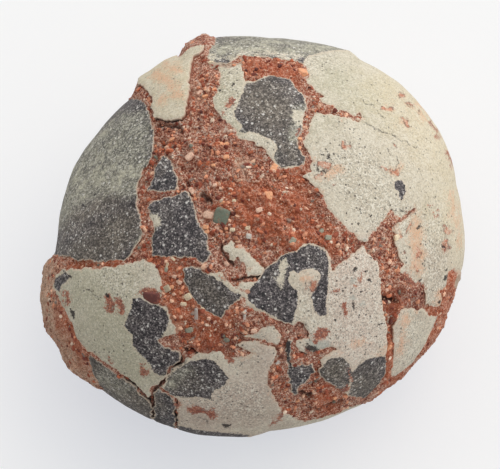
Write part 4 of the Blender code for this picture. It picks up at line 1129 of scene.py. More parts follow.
GRAIN_COUNT = 8600
GRAIN_SIZES = (0.5, 1.8)        # mm across
MOSTLY_SMALL = 3.2              # the higher this is, the rarer the big ones are
LONGER, NARROWER, FLATTER = (1.0, 1.5), (0.7, 1.0), (0.6, 0.9)     # shares of that size
GRAIN_ROUGHNESS = 0.22          # how far each corner moves in or out, as a share
DRIFT_SIZE, DRIFT_SEED = 6.0, 31            # mm, of the spots where they lie thicker
DRIFT_SIDES = (-0.4, 0.7)       # values of the noise where a drift begins and where it is full
SPARSE = 0.35                   # how thick they lie between the drifts
BARE_BAND = 0.5                 # mm from a plate's edge that stays free of them
RIM_RARE = 0.85                 # how much rarer they are on the rim, which is worn smoother
RIM_SINK = 0.25                 # and how many mm deeper they sit there
FLAT_SPOT_INSET = 0.05          # how far above the flat spot's plane they end, inside the stone
TINT_SPREAD = (0.85, 1.15)      # how dark and how light a grain may come out
GRAIN_SPLITS, PEBBLE_SPLITS = 1, 3          # how finely their balls are divided
GRAIN_SEED = 5
GRAIN_TINTS = [                 # how common each is, and its colour
    (11, linear(126, 58, 42)), (22, linear(174, 90, 62)), (18, linear(212, 122, 84)),
    (16, linear(242, 168, 130)), (13, linear(253, 204, 170)), (7, linear(255, 230, 204)),
    (3, linear(156, 140, 126)), (2, linear(130, 132, 116)), (5, linear(96, 46, 38)),
]
print("strewn:", GRAIN_COUNT, "grains of", len(GRAIN_TINTS), "colours")

# %% The pebbles
# Cream, pink and orange are pushed to full brightness, so that they also carry the flakes' glints
# as painted highlight.
GREEN, MAROON, CREAM = linear(120, 130, 112), linear(116, 66, 60), linear(255, 236, 200)
PALE_GREEN, WHITE = linear(176, 176, 154), linear(232, 226, 214)
PINK, ORANGE = linear(255, 212, 184), linear(255, 186, 140)
PEBBLES = [                     # x and y on the sheet, length, width, height, turn, colour
    (-9.6, 6.0, 5.3, 4.6, 3.0, 76, GREEN), (-33, -21.2, 6.0, 3.6, 2.4, 3, MAROON),
    (-20.7, -20.8, 2.4, 2.1, 1.4, 30, CREAM), (-22.5, -23.2, 2.0, 1.1, 1.0, 0, CREAM),
    (-18.2, -27, 4.2, 1.1, 0.9, 84, linear(204, 192, 182)),
    (-20.7, -32.2, 2.4, 1.6, 1.0, 20, PALE_GREEN), (14, -2, 2.4, 1.7, 1.0, 60, PALE_GREEN),
    (26, -1, 2.2, 1.5, 1.0, 0, PALE_GREEN), (24.5, 1.5, 1.7, 1.4, 1.0, 40, PALE_GREEN),
    (9.6, -43.5, 1.7, 1.3, 0.9, 60, WHITE), (-14, 6.5, 3.5, 2.2, 1.4, -12, PINK),
    (-14.8, 2.5, 1.9, 1.4, 1.2, 0, ORANGE), (-14.3, 0.9, 1.7, 1.2, 1.1, 20, ORANGE),
    (-7.8, 25.8, 1.9, 1.5, 1.2, 0, ORANGE), (8, 22, 4.0, 2.0, 1.5, 60, ORANGE),
    (6, 13, 3.0, 2.8, 1.6, 0, ORANGE), (17.7, 54.2, 3.6, 3.0, 1.8, 80, ORANGE),
    (-0.5, -0.6, 1.7, 1.6, 1.2, 0, WHITE), (-1, 2.2, 1.6, 1.3, 1.0, 0, CREAM),
    (-19.5, 14.7, 3.4, 1.5, 1.2, -50, PINK), (-1.8, -27, 4.0, 0.8, 0.8, 82, WHITE),
    (1.5, -32, 1.8, 1.3, 1.0, 0, PINK), (-3.5, -4.3, 2.0, 1.4, 1.1, 10, PINK),
    (-20, 26, 3.0, 2.2, 1.4, 40, PINK), (3, 8, 2.2, 1.5, 1.2, 20, PINK),
    (-28.2, -11.8, 2.0, 1.3, 1.0, 70, PALE_GREEN), (-17, 48, 2.4, 1.6, 1.2, 60, PINK),
    (47, -38, 2.2, 1.6, 1.2, 80, ORANGE), (53, -3.5, 3.2, 2.2, 1.2, 70, PINK),
    (49.5, -1.0, 2.6, 2.0, 1.1, 10, CREAM), (-18.8, 12.3, 1.3, 1.0, 0.9, 0, ORANGE),
    (-9.8, 15.5, 1.2, 0.9, 0.8, 0, PINK), (-12, 16.7, 1.6, 1.1, 0.9, 10, PINK),
    (-9.5, 10.7, 1.5, 0.8, 0.8, 20, ORANGE), (-8.2, 2, 1.1, 0.9, 0.8, 0, ORANGE),
    (-6, 1.5, 1.7, 1.2, 0.9, 0, CREAM), (-11.3, 2.2, 2.0, 1.2, 0.8, -10, PINK),
    (-5.2, 11.5, 1.2, 1.0, 0.8, 0, CREAM), (-6.7, 8.5, 1.1, 0.8, 0.8, 40, PINK),
    (-25.6, -14.2, 1.6, 1.0, 0.9, -10, PINK), (-24.1, -16.1, 1.9, 1.2, 1.0, -20, PINK),
    (-26.3, -17.6, 1.3, 1.0, 0.9, 0, ORANGE), (-25.6, -19.8, 1.2, 0.9, 0.8, 30, PINK),
    (-27.8, -10.2, 1.7, 0.9, 0.9, 70, CREAM),
    (-27.6, -18.3, 2.6, 2.1, 1.1, 30, linear(208, 192, 162)),
    (-25.6, -8.3, 1.6, 0.8, 0.8, -30, CREAM), (-13.9, -27.9, 1.2, 1.0, 0.8, 0, PINK),
    (-12, -29.4, 1.5, 0.9, 0.8, 40, PINK), (-16, -24.8, 1.3, 0.9, 0.8, -20, CREAM),
    (-8, -9.8, 1.8, 1.2, 1.0, -50, PINK), (-23.3, -19.5, 1.1, 0.8, 0.8, 60, ORANGE),
    (-12, 22.5, 1.3, 1.0, 0.8, 0, ORANGE), (0, 20.8, 1.2, 0.9, 0.8, 0, PINK),
    (-10, 30.2, 1.5, 1.2, 0.9, 0, ORANGE), (-8, 30.5, 1.7, 1.2, 0.9, 20, ORANGE),
    (16.8, 31.8, 1.3, 1.0, 0.8, 0, ORANGE), (17, 29, 1.3, 0.9, 0.8, 60, ORANGE),
    (-13, 57.5, 1.8, 1.2, 0.9, 10, CREAM), (-15.3, 46.8, 2.0, 1.4, 1.0, 20, ORANGE),
    (-26.3, 32, 2.0, 1.2, 0.9, 0, ORANGE), (-12, 48.8, 1.5, 1.0, 0.9, 30, ORANGE),
    (46.8, -5, 1.7, 1.2, 0.9, 10, CREAM), (46.3, -9.5, 1.2, 0.9, 0.8, 0, PINK),
    (49, -12, 1.4, 0.9, 0.8, 30, ORANGE), (46, -18.5, 1.3, 1.0, 0.8, 0, PINK),
    (22, -53, 1.4, 1.0, 0.8, 0, PINK), (16, -56, 1.3, 0.9, 0.8, 40, ORANGE),
    (25, -57, 1.5, 1.0, 0.8, 10, PINK), (28, -54.6, 1.3, 0.9, 0.8, -20, ORANGE),
]
BOXINESS = 0.5                  # 1 is a ball, and toward 0 it turns into a box
FACETS, FACET_FINENESS = 0.10, 1.7          # how far noise dents a pebble, and how finely
PEBBLE_ROUGHNESS = 0.03
print("placed by hand:", len(PEBBLES), "pebbles")


# %% Small balls, set in the stone
def rough_ball(splits):
    """The points and triangles of a ball one unit in radius, from a twenty-sided one."""
    ball = bmesh.new()
    bmesh.ops.create_icosphere(ball, subdivisions=splits, radius=1.0)
    points = np.array([point.co[:] for point in ball.verts])
    faces = np.array([[point.index for point in face.verts] for face in ball.faces])
    ball.free()
    return points, faces


def set_in(ball, centres, upward, forward, half_sizes, roughness, dice):
    """Copies of the ball, each scaled, roughened and set on its centre. All lengths in mm."""
    points, faces = ball
    upward, sideways = unit(upward), unit(np.cross(upward, forward))
    axes = np.stack([np.cross(sideways, upward), sideways, upward], axis=1)
    bumps = 1.0 + roughness * dice.uniform(-1.0, 1.0, (len(centres), len(points), 1))
    places = (points * bumps * half_sizes[:, None, :]) @ axes + centres[:, None, :]
    starts = np.arange(len(centres))[:, None, None] * len(points)
    return places.reshape(-1, 3), (faces + starts).reshape(-1, 3)


print("a grain has", len(rough_ball(GRAIN_SPLITS)[1]), "sides and a pebble",
      len(rough_ball(PEBBLE_SPLITS)[1]))


# %% Loose grains
def loose_grains(stone_places, triangles, dice):
    """Grains strewn over the sandstone, thicker in some spots than in others."""
    corners = stone_places[triangles]
    across = np.cross(corners[:, 1] - corners[:, 0], corners[:, 2] - corners[:, 0])
    share = np.linalg.norm(across, axis=1)
    corner = triangles[:, 0]
    drift = smooth_step(*DRIFT_SIDES, wobble(DIRECTIONS[corner], DRIFT_SIZE, DRIFT_SEED))
    share *= SPARSE + drift
    share *= (TO_EDGE[corner] > BARE_BAND) * (1.0 - RIM_RARE * rim_share(DIRECTIONS[corner]))
    chosen = dice.choice(len(triangles), GRAIN_COUNT, p=share / share.sum())
    first, second = np.sort(dice.random((2, GRAIN_COUNT, 1)), axis=0)
    a, b, c = (corners[chosen, i] for i in range(3))
    centres = a * first + b * (second - first) + c * (1.0 - second)
    centres -= RIM_SINK * rim_share(DIRECTIONS[corner[chosen]])[:, None] * unit(across[chosen])
    low, high = GRAIN_SIZES
    half = 0.5 * (low + (high - low) * dice.random((GRAIN_COUNT, 1)) ** MOSTLY_SMALL)
    half = half * np.hstack([dice.uniform(*spread, (GRAIN_COUNT, 1))
                             for spread in (LONGER, NARROWER, FLATTER)])
    forward = dice.normal(size=(GRAIN_COUNT, 3))
    places, faces = set_in(rough_ball(GRAIN_SPLITS), centres, across[chosen], forward, half,
                           GRAIN_ROUGHNESS, dice)
    common = np.array([count for count, _ in GRAIN_TINTS], float)
    tints = np.array([tint for _, tint in GRAIN_TINTS])
    tints = tints[dice.choice(len(tints), GRAIN_COUNT, p=common / common.sum())]
    tints[:, :3] *= dice.uniform(*TINT_SPREAD, (GRAIN_COUNT, 1))
    return places, faces, np.repeat(tints, len(places) // GRAIN_COUNT, axis=0)


# %% Known pebbles, joined with the grains
def known_pebbles(stone_places, dice):
    """The pebbles, each turned as it lies on the sheet."""
    directions = from_sheet([(x, y) for x, y, *_ in PEBBLES])
    nearest = (directions @ DIRECTIONS.T).argmax(axis=1)
    upward = directions @ SIGHT_TO_WORLD
    turns = np.radians([turn for *_, turn, _ in PEBBLES])[:, None]
    forward = RIGHT * np.cos(turns) + UP * np.sin(turns)
    half = 0.5 * np.array([sizes for _, _, *sizes, _, _ in PEBBLES])
    points, ball_faces = rough_ball(PEBBLE_SPLITS)
    boxy = np.sign(points) * np.abs(points) ** BOXINESS
    dents = np.array([noise.noise(Vector(point) * FACET_FINENESS) for point in boxy])
    pebble = boxy * (1.0 + FACETS * dents)[:, None], ball_faces
    places, faces = set_in(pebble, stone_places[nearest], upward, forward, half,
                           PEBBLE_ROUGHNESS, dice)
    tints = np.array([tint for *_, tint in PEBBLES])
    return places, faces, np.repeat(tints, len(points), axis=0)


def make_grains():
    """All of them as one piece, kept inside the solid's box."""
    dice = np.random.default_rng(GRAIN_SEED)
    stone_places = to_world(DIRECTIONS, STONE_RADIUS) / MM
    grains = loose_grains(stone_places, TRIANGLES[PLATE_OF < 0], dice)
    pebbles = known_pebbles(stone_places, dice)
    low, high = SOLID_BOX
    inset = np.array([0.0, 0.0, FLAT_SPOT_INSET * MM])
    places = np.clip(np.vstack([grains[0], pebbles[0]]) * MM, low + inset, high)
    faces = np.vstack([grains[1], pebbles[1] + len(grains[0])])
    piece = make_piece("sand_grains", places, faces, {"tint": np.vstack([grains[2], pebbles[2]])})
    piece.data.shade_flat()
    return piece


grains = make_grains()

# %% [markdown]
# ## Writing materials as arithmetic
#
# A procedural material is a long sum: this noise times that mask, plus a little of another.
# In the node editor that is a wall of Math nodes. Here a small class wraps a node's output, so
# that `1 - mask * 0.5` adds the nodes by itself. Colours can't go through Math nodes, which
# turn them grey, so they are mixed.

# %% Wires
class Wire:
    """An output of a shader node, on which arithmetic adds Math nodes."""

    def __init__(self, nodes, socket):
        self.nodes, self.socket = nodes, socket

    def math(self, operation, *values, clamp=False):
        settings = {"operation": operation, "use_clamp": clamp}
        return self.nodes.add("ShaderNodeMath", settings, dict(enumerate((self, *values))))

    def __add__(self, other):
        return self.math("ADD", other)

    def __sub__(self, other):
        return self.math("SUBTRACT", other)

    def __rsub__(self, other):
        return (self * -1.0) + other

    def __mul__(self, other):
        return self.math("MULTIPLY", other)

    __radd__, __rmul__ = __add__, __mul__

    def step(self, low, high):
        """0 below low, 1 above high and smooth between. It falls if high is the lower one."""
        sockets = {"Value": self, "From Min": low, "From Max": high}
        return self.nodes.add("ShaderNodeMapRange", {"interpolation_type": "SMOOTHSTEP"}, sockets)

    def clamped(self):
        return self.math("ADD", 0.0, clamp=True)


# %% Nodes, and the finishes made of them
class Nodes:
    """A tree of shader nodes being filled."""

    def __init__(self, owner):
        owner.use_nodes = True
        self.tree = owner.node_tree

    def set(self, socket, value):
        if isinstance(value, Wire):
            self.tree.links.new(value.socket, socket)
        else:
            socket.default_value = value

    def add(self, kind, settings=None, sockets=None, output=0):
        """Adds a node, sets it up, then fills its sockets with values or wires."""
        node = self.tree.nodes.new(kind)
        settings = dict(settings or {})
        stops = settings.pop("stops", [])
        for key, value in settings.items():
            setattr(node, key, value)
        for i, (place, colour) in enumerate(stops):
            ramp = node.color_ramp.elements
            stop = ramp[i] if i < 2 else ramp.new(place)
            stop.position, stop.color = place, colour
        for key, value in (sockets or {}).items():
            self.set(node.inputs[key], value)
        return Wire(self, node.outputs[output])


class Finish(Nodes):
    """A material being made."""

    def __init__(self, name):
        self.material = bpy.data.materials.new(name)
        super().__init__(self.material)
        self.shader = self.tree.nodes["Principled BSDF"]
        self.coordinates = self.add("ShaderNodeTexCoord", output="Object")

    def mm(self, size, shift=0.0):
        """Coordinates on which one unit is this many millimetres."""
        sockets = {0: self.coordinates, 1: (1.0 / (size * MM),) * 3, 2: (shift,) * 3}
        return self.add("ShaderNodeVectorMath", {"operation": "MULTIPLY_ADD"}, sockets)

    def noise(self, size, detail=2.0, roughness=0.5, shift=0.0):
        """Soft noise from 0 to 1, with lumps of this size in mm."""
        sockets = {"Vector": self.mm(size, shift), "Scale": 1.0, "Detail": detail,
                   "Roughness": roughness}
        return self.add("ShaderNodeTexNoise", {}, sockets)

    def cells(self, size, shift=0.0, output="Distance"):
        """Voronoi cells of this size in mm: the distance from their middles, or their colour."""
        sockets = {"Vector": self.mm(size, shift), "Scale": 1.0}
        return self.add("ShaderNodeTexVoronoi", {}, sockets, output)

    def luck(self, size, shift=0.0):
        """A random number from 0 to 1, the same all over each cell."""
        colour = self.cells(size, shift, output="Color")
        return self.add("ShaderNodeSeparateColor", {}, {"Color": colour})

    def ramp(self, value, *stops):
        """A colour chosen by a number, from stops of a place and a colour."""
        return self.add("ShaderNodeValToRGB", {"stops": stops}, {"Fac": value})

    def depth(self, name):
        """A number that the skin stores at each of its points."""
        return self.add("ShaderNodeAttribute", {"attribute_name": name}, output="Fac")

    def tint(self, name):
        """A colour that the mesh stores at each of its points."""
        return self.add("ShaderNodeAttribute", {"attribute_name": name}, output="Color")

    def mix(self, first, second, share):
        """Two colours, mixed by a share of the second."""
        sockets = {0: share, 6: first, 7: second}
        return self.add("ShaderNodeMix", {"data_type": "RGBA"}, sockets, 2)

    def surface(self, colour, roughness, height, bump_distance):
        """Wires the surface up. A height of 1 is as many mm as the bump's distance."""
        self.set(self.shader.inputs["Base Color"], colour)
        self.set(self.shader.inputs["Roughness"], roughness)
        sockets = {"Height": height, "Distance": bump_distance * MM, "Strength": 1.0}
        self.set(self.shader.inputs["Normal"], self.add("ShaderNodeBump", {}, sockets))
        print(self.material.name, "has", len(self.tree.nodes), "nodes")
        return self.material


# %% [markdown]
# ## Shell and crust
#
# One material does the whole of the shell, because crust, bare shell and stains run into each
# other. It starts from the pale crust, then lays over it what the marks say: bare shell where
# the crust has flaked off, a thin greenish veil, rust, ochre tints, cool spots and black pits.
# Each border is moved by fine noise, so that it crumbles as the real one does.

# %% Colours of the shell
CRUST_LIGHT = linear(234, 225, 203)
CRUST_DULL = linear(204, 192, 168)
CRUST_GREY = linear(156, 150, 134)
CRUST_RIM = linear(226, 206, 182)
CRUST_KHAKI, CRUST_PINK = linear(192, 189, 158), linear(240, 216, 200)
CRUST_YELLOW, CRUST_DIRTY = linear(228, 212, 174), linear(176, 154, 136)
CRUST_WHITE = linear(252, 246, 230)
CHIP_STOPS = ((0.3, linear(172, 98, 74)), (0.5, linear(218, 148, 116)),
              (0.7, linear(244, 212, 188)))
CHIP_EDGE = linear(120, 84, 70)
BARE_STOPS = ((0.0, linear(38, 35, 37)), (0.28, linear(77, 71, 72)),
              (0.53, linear(110, 102, 102)), (0.76, linear(162, 154, 150)),
              (1.0, linear(240, 236, 228)))
BROWN_STOPS = ((0.0, linear(76, 69, 61)), (0.28, linear(110, 101, 90)),
               (0.53, linear(136, 126, 113)), (0.76, linear(176, 166, 152)),
               (1.0, linear(240, 234, 220)))
BARE_BROWN = linear(136, 126, 114)
VEIL_STOPS = ((0.0, linear(104, 101, 90)), (0.35, linear(160, 156, 140)),
              (0.6, linear(204, 200, 180)), (1.0, linear(244, 240, 222)))
VEIL_THICK = linear(226, 220, 192)
RUST_STOPS = ((0.28, linear(90, 42, 33)), (0.5, linear(154, 77, 56)),
              (0.72, linear(222, 168, 138)))
OCHRE = linear(238, 182, 140)
COOL = linear(160, 174, 166)
PIT = linear(52, 44, 42)
# the walls' own colour, and the painted shadow that fills grooves and the walls beside them
WALL, PAINTED_GROOVE_SHADOW = linear(160, 106, 84), linear(50, 36, 33)
print("the light crust reflects", round(CRUST_LIGHT[0] * 100), "% of red light, bare shell",
      round(BARE_STOPS[0][1][0] * 100), "% at its darkest")


# %% The crust
def crust_colour(f, crumble, speckled):
    """The pale crust with its mottles, tints and pin-pricks, and a mask of the pin-pricks."""
    mottle = f.noise(6.0, 4.0, 0.65, shift=3.0)
    grain = f.noise(0.55, 3.0, 0.85, shift=9.0)
    crust = f.mix(CRUST_LIGHT, CRUST_DULL, mottle.step(0.30, 0.72) * 0.55 + 0.2)
    for kind, tint in (("khaki", CRUST_KHAKI), ("pink", CRUST_PINK), ("yellow", CRUST_YELLOW),
                       ("dirty", CRUST_DIRTY)):
        share = (f.depth(kind) * 0.07 + (mottle - 0.5) * 1.6).step(-0.7, 0.8)
        crust = f.mix(crust, tint, share * 0.65)
    crust = f.mix(crust, CRUST_RIM, grain.step(0.50, 0.66) * 0.5)
    pepper = f.noise(0.42, 2.0, 0.9, shift=19.0)
    crust = f.mix(crust, CRUST_GREY, grain.step(0.50, 0.32) * (speckled * 0.55 + 0.25))
    crust = f.mix(crust, BARE_BROWN, pepper.step(0.42, 0.30) * (speckled * 0.4 + 0.10))
    dust = f.luck(0.42, 25.0) + (grain - 0.5) * 0.8
    crust = f.mix(crust, CRUST_WHITE, dust.step(0.50, 1.0) * (speckled * 0.28 + 0.42))
    crust = f.mix(crust, BARE_BROWN, dust.step(0.42, -0.1) * (speckled * 0.2 + 0.35))
    bleed = (f.noise(5.0, 4.0, 0.7, shift=5.0) - f.depth("to_edge") * 0.04).step(0.54, 0.70)
    crust = f.mix(crust, OCHRE, bleed * 0.5)
    ochre = (f.depth("ochre") * 0.35 + crumble * 1.2 + (mottle - 0.5) * 2.0).step(-0.3, 1.0)
    crust = f.mix(crust, OCHRE, ochre * (grain.step(0.36, 0.60) * 0.4 + 0.36))
    cool = (f.depth("cool") * 0.6 + crumble * 1.2).step(-0.4, 0.9)
    crust = f.mix(crust, COOL, cool * 0.5)
    prick = 0.0
    for size, shift, rare in ((1.6, 4.0, 0.73), (0.9, 6.0, 0.74)):
        many = f.luck(size, shift) + speckled * 0.30
        prick = f.cells(size, shift).step(0.27, 0.10) * many.step(rare, rare + 0.16) + prick
    return f.mix(crust, PIT, prick.clamped() * 0.75), prick


# %% Bare shell
def bare_colour(f, crumble, speckled):
    """Bare shell: nearly black, thick with specks, brownish and veiled in places."""
    salt = f.luck(0.38, 2.0) * 0.75 + f.luck(0.75, 14.0) * 0.35 - 0.22
    salt = salt + (f.noise(1.2, 3.0, 0.95, shift=7.0) - 0.5) * 1.1
    broad = f.noise(8.0, 3.0, 0.6, shift=6.0)
    salt = salt + (broad - 0.5) * 0.4
    brown = (f.depth("brown") * 0.12 + crumble * 0.3).step(-0.6, 0.8)
    brown = (brown * 0.85 + broad.step(0.45, 0.72) * 0.3).clamped()
    bare = f.mix(f.ramp(salt, *BARE_STOPS), f.ramp(salt, *BROWN_STOPS), brown)
    salted = (f.depth("salted") * 0.2).step(-0.6, 0.4)
    flecks = f.noise(4.0, 2.0, 0.6, shift=17.0).step(0.40, 0.66) * 0.12 + salted * 0.16 - 0.05
    veil = (f.depth("veil") * 0.3 + crumble).step(-0.6, 0.9)
    veil = veil * (f.noise(2.6, 6.0, 0.75, shift=15.0).step(0.30, 0.66) * 0.5 + 0.42)
    bare = f.mix(bare, f.ramp(salt, *VEIL_STOPS), veil)
    thick = (f.noise(6.0, 6.0, 0.75, shift=18.0) + speckled * 0.10).step(0.46, 0.68) * veil
    bare = f.mix(bare, VEIL_THICK, thick * (f.luck(0.42, 27.0) * 0.7 + 0.25))
    for size, shift in ((1.7, 12.0), (0.95, 13.0)):
        round_speck = (f.cells(size, shift) + crumble * 0.06).step(0.32, 0.16)
        speck = round_speck * (f.luck(size, shift) + flecks).step(0.72, 0.86)
        bare = f.mix(bare, BARE_STOPS[-1][1], speck * 0.8)
    return bare


# %% The shell's finish, from the crust up
def shell_finish():
    f = Finish("shell and crust")
    crumble = (f.noise(2.2, 3.0, 0.6) - 0.5) * 1.6 + (f.noise(0.6, 2.0, 0.8, shift=8.0) - 0.5) * 1.8
    speckled = (f.depth("speckled") * 0.2).step(-0.5, 0.6)
    crust, prick = crust_colour(f, crumble, speckled)
    bare = bare_colour(f, crumble, speckled)
    bare_depth = f.depth("bare") + crumble * 0.8
    is_bare = bare_depth.step(-0.12, 0.12)
    is_bare = is_bare * (f.depth("crust") * 0.7 + crumble * 1.4).step(0.5, 0.05)
    crust = f.mix(crust, CRUST_RIM, bare_depth.step(-0.9, -0.2) * bare_depth.step(0.2, -0.2) * 0.4)
    colour = f.mix(crust, bare, is_bare)
    rim = (f.depth("to_edge") + crumble * 0.55).step(0.38, 0.16)
    colour = f.mix(colour, CRUST_RIM, rim * 0.8)
    grit = f.noise(1.2, 4.0, 0.9, shift=21.0) + (f.luck(0.5, 28.0) - 0.5) * 0.25
    rust = (f.depth("rust") + crumble * 1.4 + (grit - 0.5) * 2.4).step(-0.35, 0.35)
    rust = rust * (grit.step(0.25, 0.5) * 0.25 + 0.72)
    colour = f.mix(colour, f.ramp(grit, *RUST_STOPS), rust)
    chip = f.depth("chip") + crumble * 0.7
    patchy = f.noise(2.0, 3.0, 0.7, shift=23.0)
    colour = f.mix(colour, CHIP_EDGE, chip.step(-0.5, 0.0) * patchy.step(0.46, 0.56) * 0.8)
    shown = chip.step(0.0, 0.4) * (patchy.step(0.3, 0.6) * 0.5 + 0.4)
    colour = f.mix(colour, f.ramp(grit, *CHIP_STOPS), shown)
    black = (f.depth("black") + crumble * 0.8).step(-0.12, 0.12)
    colour = f.mix(colour, PIT, black * 0.92)
    crack = (f.depth("crack") + crumble * 0.45).step(-0.10, 0.10) * patchy.step(0.34, 0.56)
    colour = f.mix(colour, PIT, crack * 0.6)
    # Painted shadow: walls beside a groove are painted nearly black, as the shade in a deep gap.
    wall = f.mix(WALL, PAINTED_GROOVE_SHADOW, f.depth("groove").step(-2.0, -0.4))
    colour = f.mix(colour, wall, f.depth("wall").step(0.52, 0.72))
    height = f.noise(0.75, 3.0, 0.85, shift=9.0) * 0.45 + f.noise(2.6, 3.0, 0.6) * 0.35
    height = height - prick * 0.3 - black * 0.4 - crack * 0.3
    return f.surface(colour, 0.84 - is_bare * 0.2, height, 0.5)


shell.data.materials.append(shell_finish())

# %% [markdown]
# ## Sandstone
#
# The stone between the plates is iron-red sand: a dark red cement full of fine grains, with
# orange and pinkish spots some millimetres across. Noise of three sizes chooses a place on a
# ramp of reds. Flecks of two sizes over it are the cells of a Voronoi pattern, each of which
# has its own random number. The finish of the loose grains starts from the colour that each
# grain carries.

# %% Colours of the sandstone
STONE_RED = linear(200, 123, 93)
STONE_STOPS = ((0.0, linear(92, 36, 24)), (0.25, linear(154, 80, 56)), (0.5, STONE_RED),
               (0.68, linear(234, 176, 146)), (0.9, linear(255, 236, 216)))
STONE_PINK = linear(204, 164, 150)
STONE_WARM, STONE_DUST_AND_RIM_LIGHT = linear(208, 108, 66), linear(250, 220, 186)
STONE_PAINTED_SHADE = linear(112, 50, 38)
# cream grains, and the near-white of painted glints
GRAIN_CREAM, PAINTED_GLINT_WHITE = linear(244, 208, 178), linear(250, 224, 202)
GRAIN_ORANGE = linear(230, 148, 104)
# dark grains, and the painted shade of the sandstone's small hollows
DARK_GRAIN_AND_SHADE = linear(96, 40, 28)
print("its red reflects", [round(channel * 100) for channel in STONE_RED[:3]],
      "% of red, green and blue light")


# %% The sandstone's finish
def sandstone_finish():
    f = Finish("red sandstone")
    broad = f.noise(13.0, 4.0, 0.65, shift=1.0)
    rough = f.noise(3.2, 6.0, 0.8, shift=2.0)
    fine = f.noise(0.8, 3.0, 0.9, shift=3.0)
    sparkle = f.noise(0.45, 2.0, 1.0, shift=6.0)
    # The stone's own mottling, and partly painted shade: the bump rises with the same noises, so
    # the dark end of the ramp falls in the hollows.
    tone = (rough - 0.5) * 1.6 + (fine - 0.5) * 2.0 + (sparkle - 0.5) * 1.6 + 0.50
    tone = tone + (f.luck(0.45, 9.0) - 0.5) * 0.45
    colour = f.ramp(tone.clamped(), *STONE_STOPS)
    warm = (f.depth("warm") * 0.18 + (broad - 0.5)).step(-0.5, 0.7)
    colour = f.mix(colour, STONE_PINK, (broad - warm * 0.4).step(0.42, 0.68) * 0.22)
    colour = f.mix(colour, STONE_WARM, warm * 0.6)
    # Painted shade: the deep marks darken the red where the sandstone lies in shadow; the rough
    # noise breaks it up.
    deep = (f.depth("deep") * 0.35 + (rough - 0.5) * 2.0).step(-0.7, 0.8)
    colour = f.mix(colour, STONE_PAINTED_SHADE, deep * 0.45)
    # Pale dust here and there at random; along the left rim it is also painted light where light
    # wraps round the rim.
    dust_and_rim_light = f.depth("dust_and_rim_light") * 0.3 + (rough - 0.5) * 3.0 + (sparkle - 0.5) * 3.0
    colour = f.mix(colour, STONE_DUST_AND_RIM_LIGHT, dust_and_rim_light.step(-0.8, 1.0) * 0.48)
    drifts = f.noise(5.0, 3.0, 0.6, shift=12.0).step(0.36, 0.62) * 0.6 + 0.4
    for size, shift in ((1.5, 5.0), (0.7, 8.0)):
        choice = f.luck(size, shift)
        inner = (f.cells(size, shift) + (fine - 0.5) * 0.5).step(0.40, 0.22)
        colour = f.mix(colour, GRAIN_CREAM, inner * choice.step(0.93, 0.96) * 0.6)
        colour = f.mix(colour, GRAIN_ORANGE, inner * choice.step(0.78, 0.82)
                       * choice.step(0.95, 0.93) * 0.45)
        colour = f.mix(colour, DARK_GRAIN_AND_SHADE, inner * choice.step(0.14, 0.11) * 0.5)
    pale = (f.depth("pale") * 0.4 + (rough - 0.5) * 3.0).step(-0.5, 0.9)
    colour = f.mix(colour, GRAIN_CREAM, pale * 0.4)
    # Painted highlight: near-white glints where the fine noise that also raises the bump is
    # highest, thicker in drifts.
    glint = (sparkle + (rough - 0.5) * 0.6).step(0.60, 0.70) * drifts * (1.0 - warm * 0.3)
    colour = f.mix(colour, PAINTED_GLINT_WHITE, glint * 0.9)
    # Painted shade: where the noise that also lowers the bump is low, the small hollows are painted
    # dark.
    colour = f.mix(colour, DARK_GRAIN_AND_SHADE, (sparkle + (rough - 0.5) * 0.6).step(0.36, 0.26) * 0.6)
    # Painted shadow: the grooves' floors are painted nearly black, as the shade in a deep gap.
    groove = (f.depth("groove") + (fine - 0.5) * 1.5).step(-0.5, 0.6)
    colour = f.mix(colour, PAINTED_GROOVE_SHADOW, groove * 0.85)
    chalk = (f.depth("chalk") + (rough - 0.5) * 2.0).step(-0.3, 0.4)
    colour = f.mix(colour, CRUST_RIM, chalk * 0.85)
    height = rough * 1.0 + fine * 0.8 + sparkle * 0.3
    return f.surface(colour, 0.88, height, 0.9)


sandstone.data.materials.append(sandstone_finish())


# %% The grains' finish
def grain_finish():
    f = Finish("loose grains")
    dark_spots = f.noise(0.5, 2.0, 0.8)
    dust = f.noise(1.7, 3.0, 0.8, shift=4.0).step(0.5, 0.64)
    colour = f.mix(f.tint("tint"), DARK_GRAIN_AND_SHADE, dark_spots.step(0.55, 0.36) * 0.3)
    colour = f.mix(colour, STONE_RED, dust * 0.3)
    return f.surface(colour, 0.7, dark_spots, 0.15)


grains.data.materials.append(grain_finish())

# %% [markdown]
# ## Floor, light and camera
#
# The egg lies on a plain white table inside a light tent: soft light from everywhere, more of
# it from the back and the right. A tent is simply a world whose brightness changes evenly with
# direction, and a wide, weak sun lamp adds the soft shadow. The table glows a little for the
# camera alone, as a table that is lit on its own does, so it can be white without throwing
# light up under the egg.

# %% Floor
TABLE_REACH = 4.0               # metres from the middle to each edge
TABLE_SHADE = linear(214, 214, 214)
TABLE_SEEN = (0.48, 0.45, 0.38, 1.0)        # its shade and its glow, for the camera alone
TABLE_GLOW = (0.50, 0.525, 0.58, 1.0)
NO_GLOW = (0.0, 0.0, 0.0, 1.0)


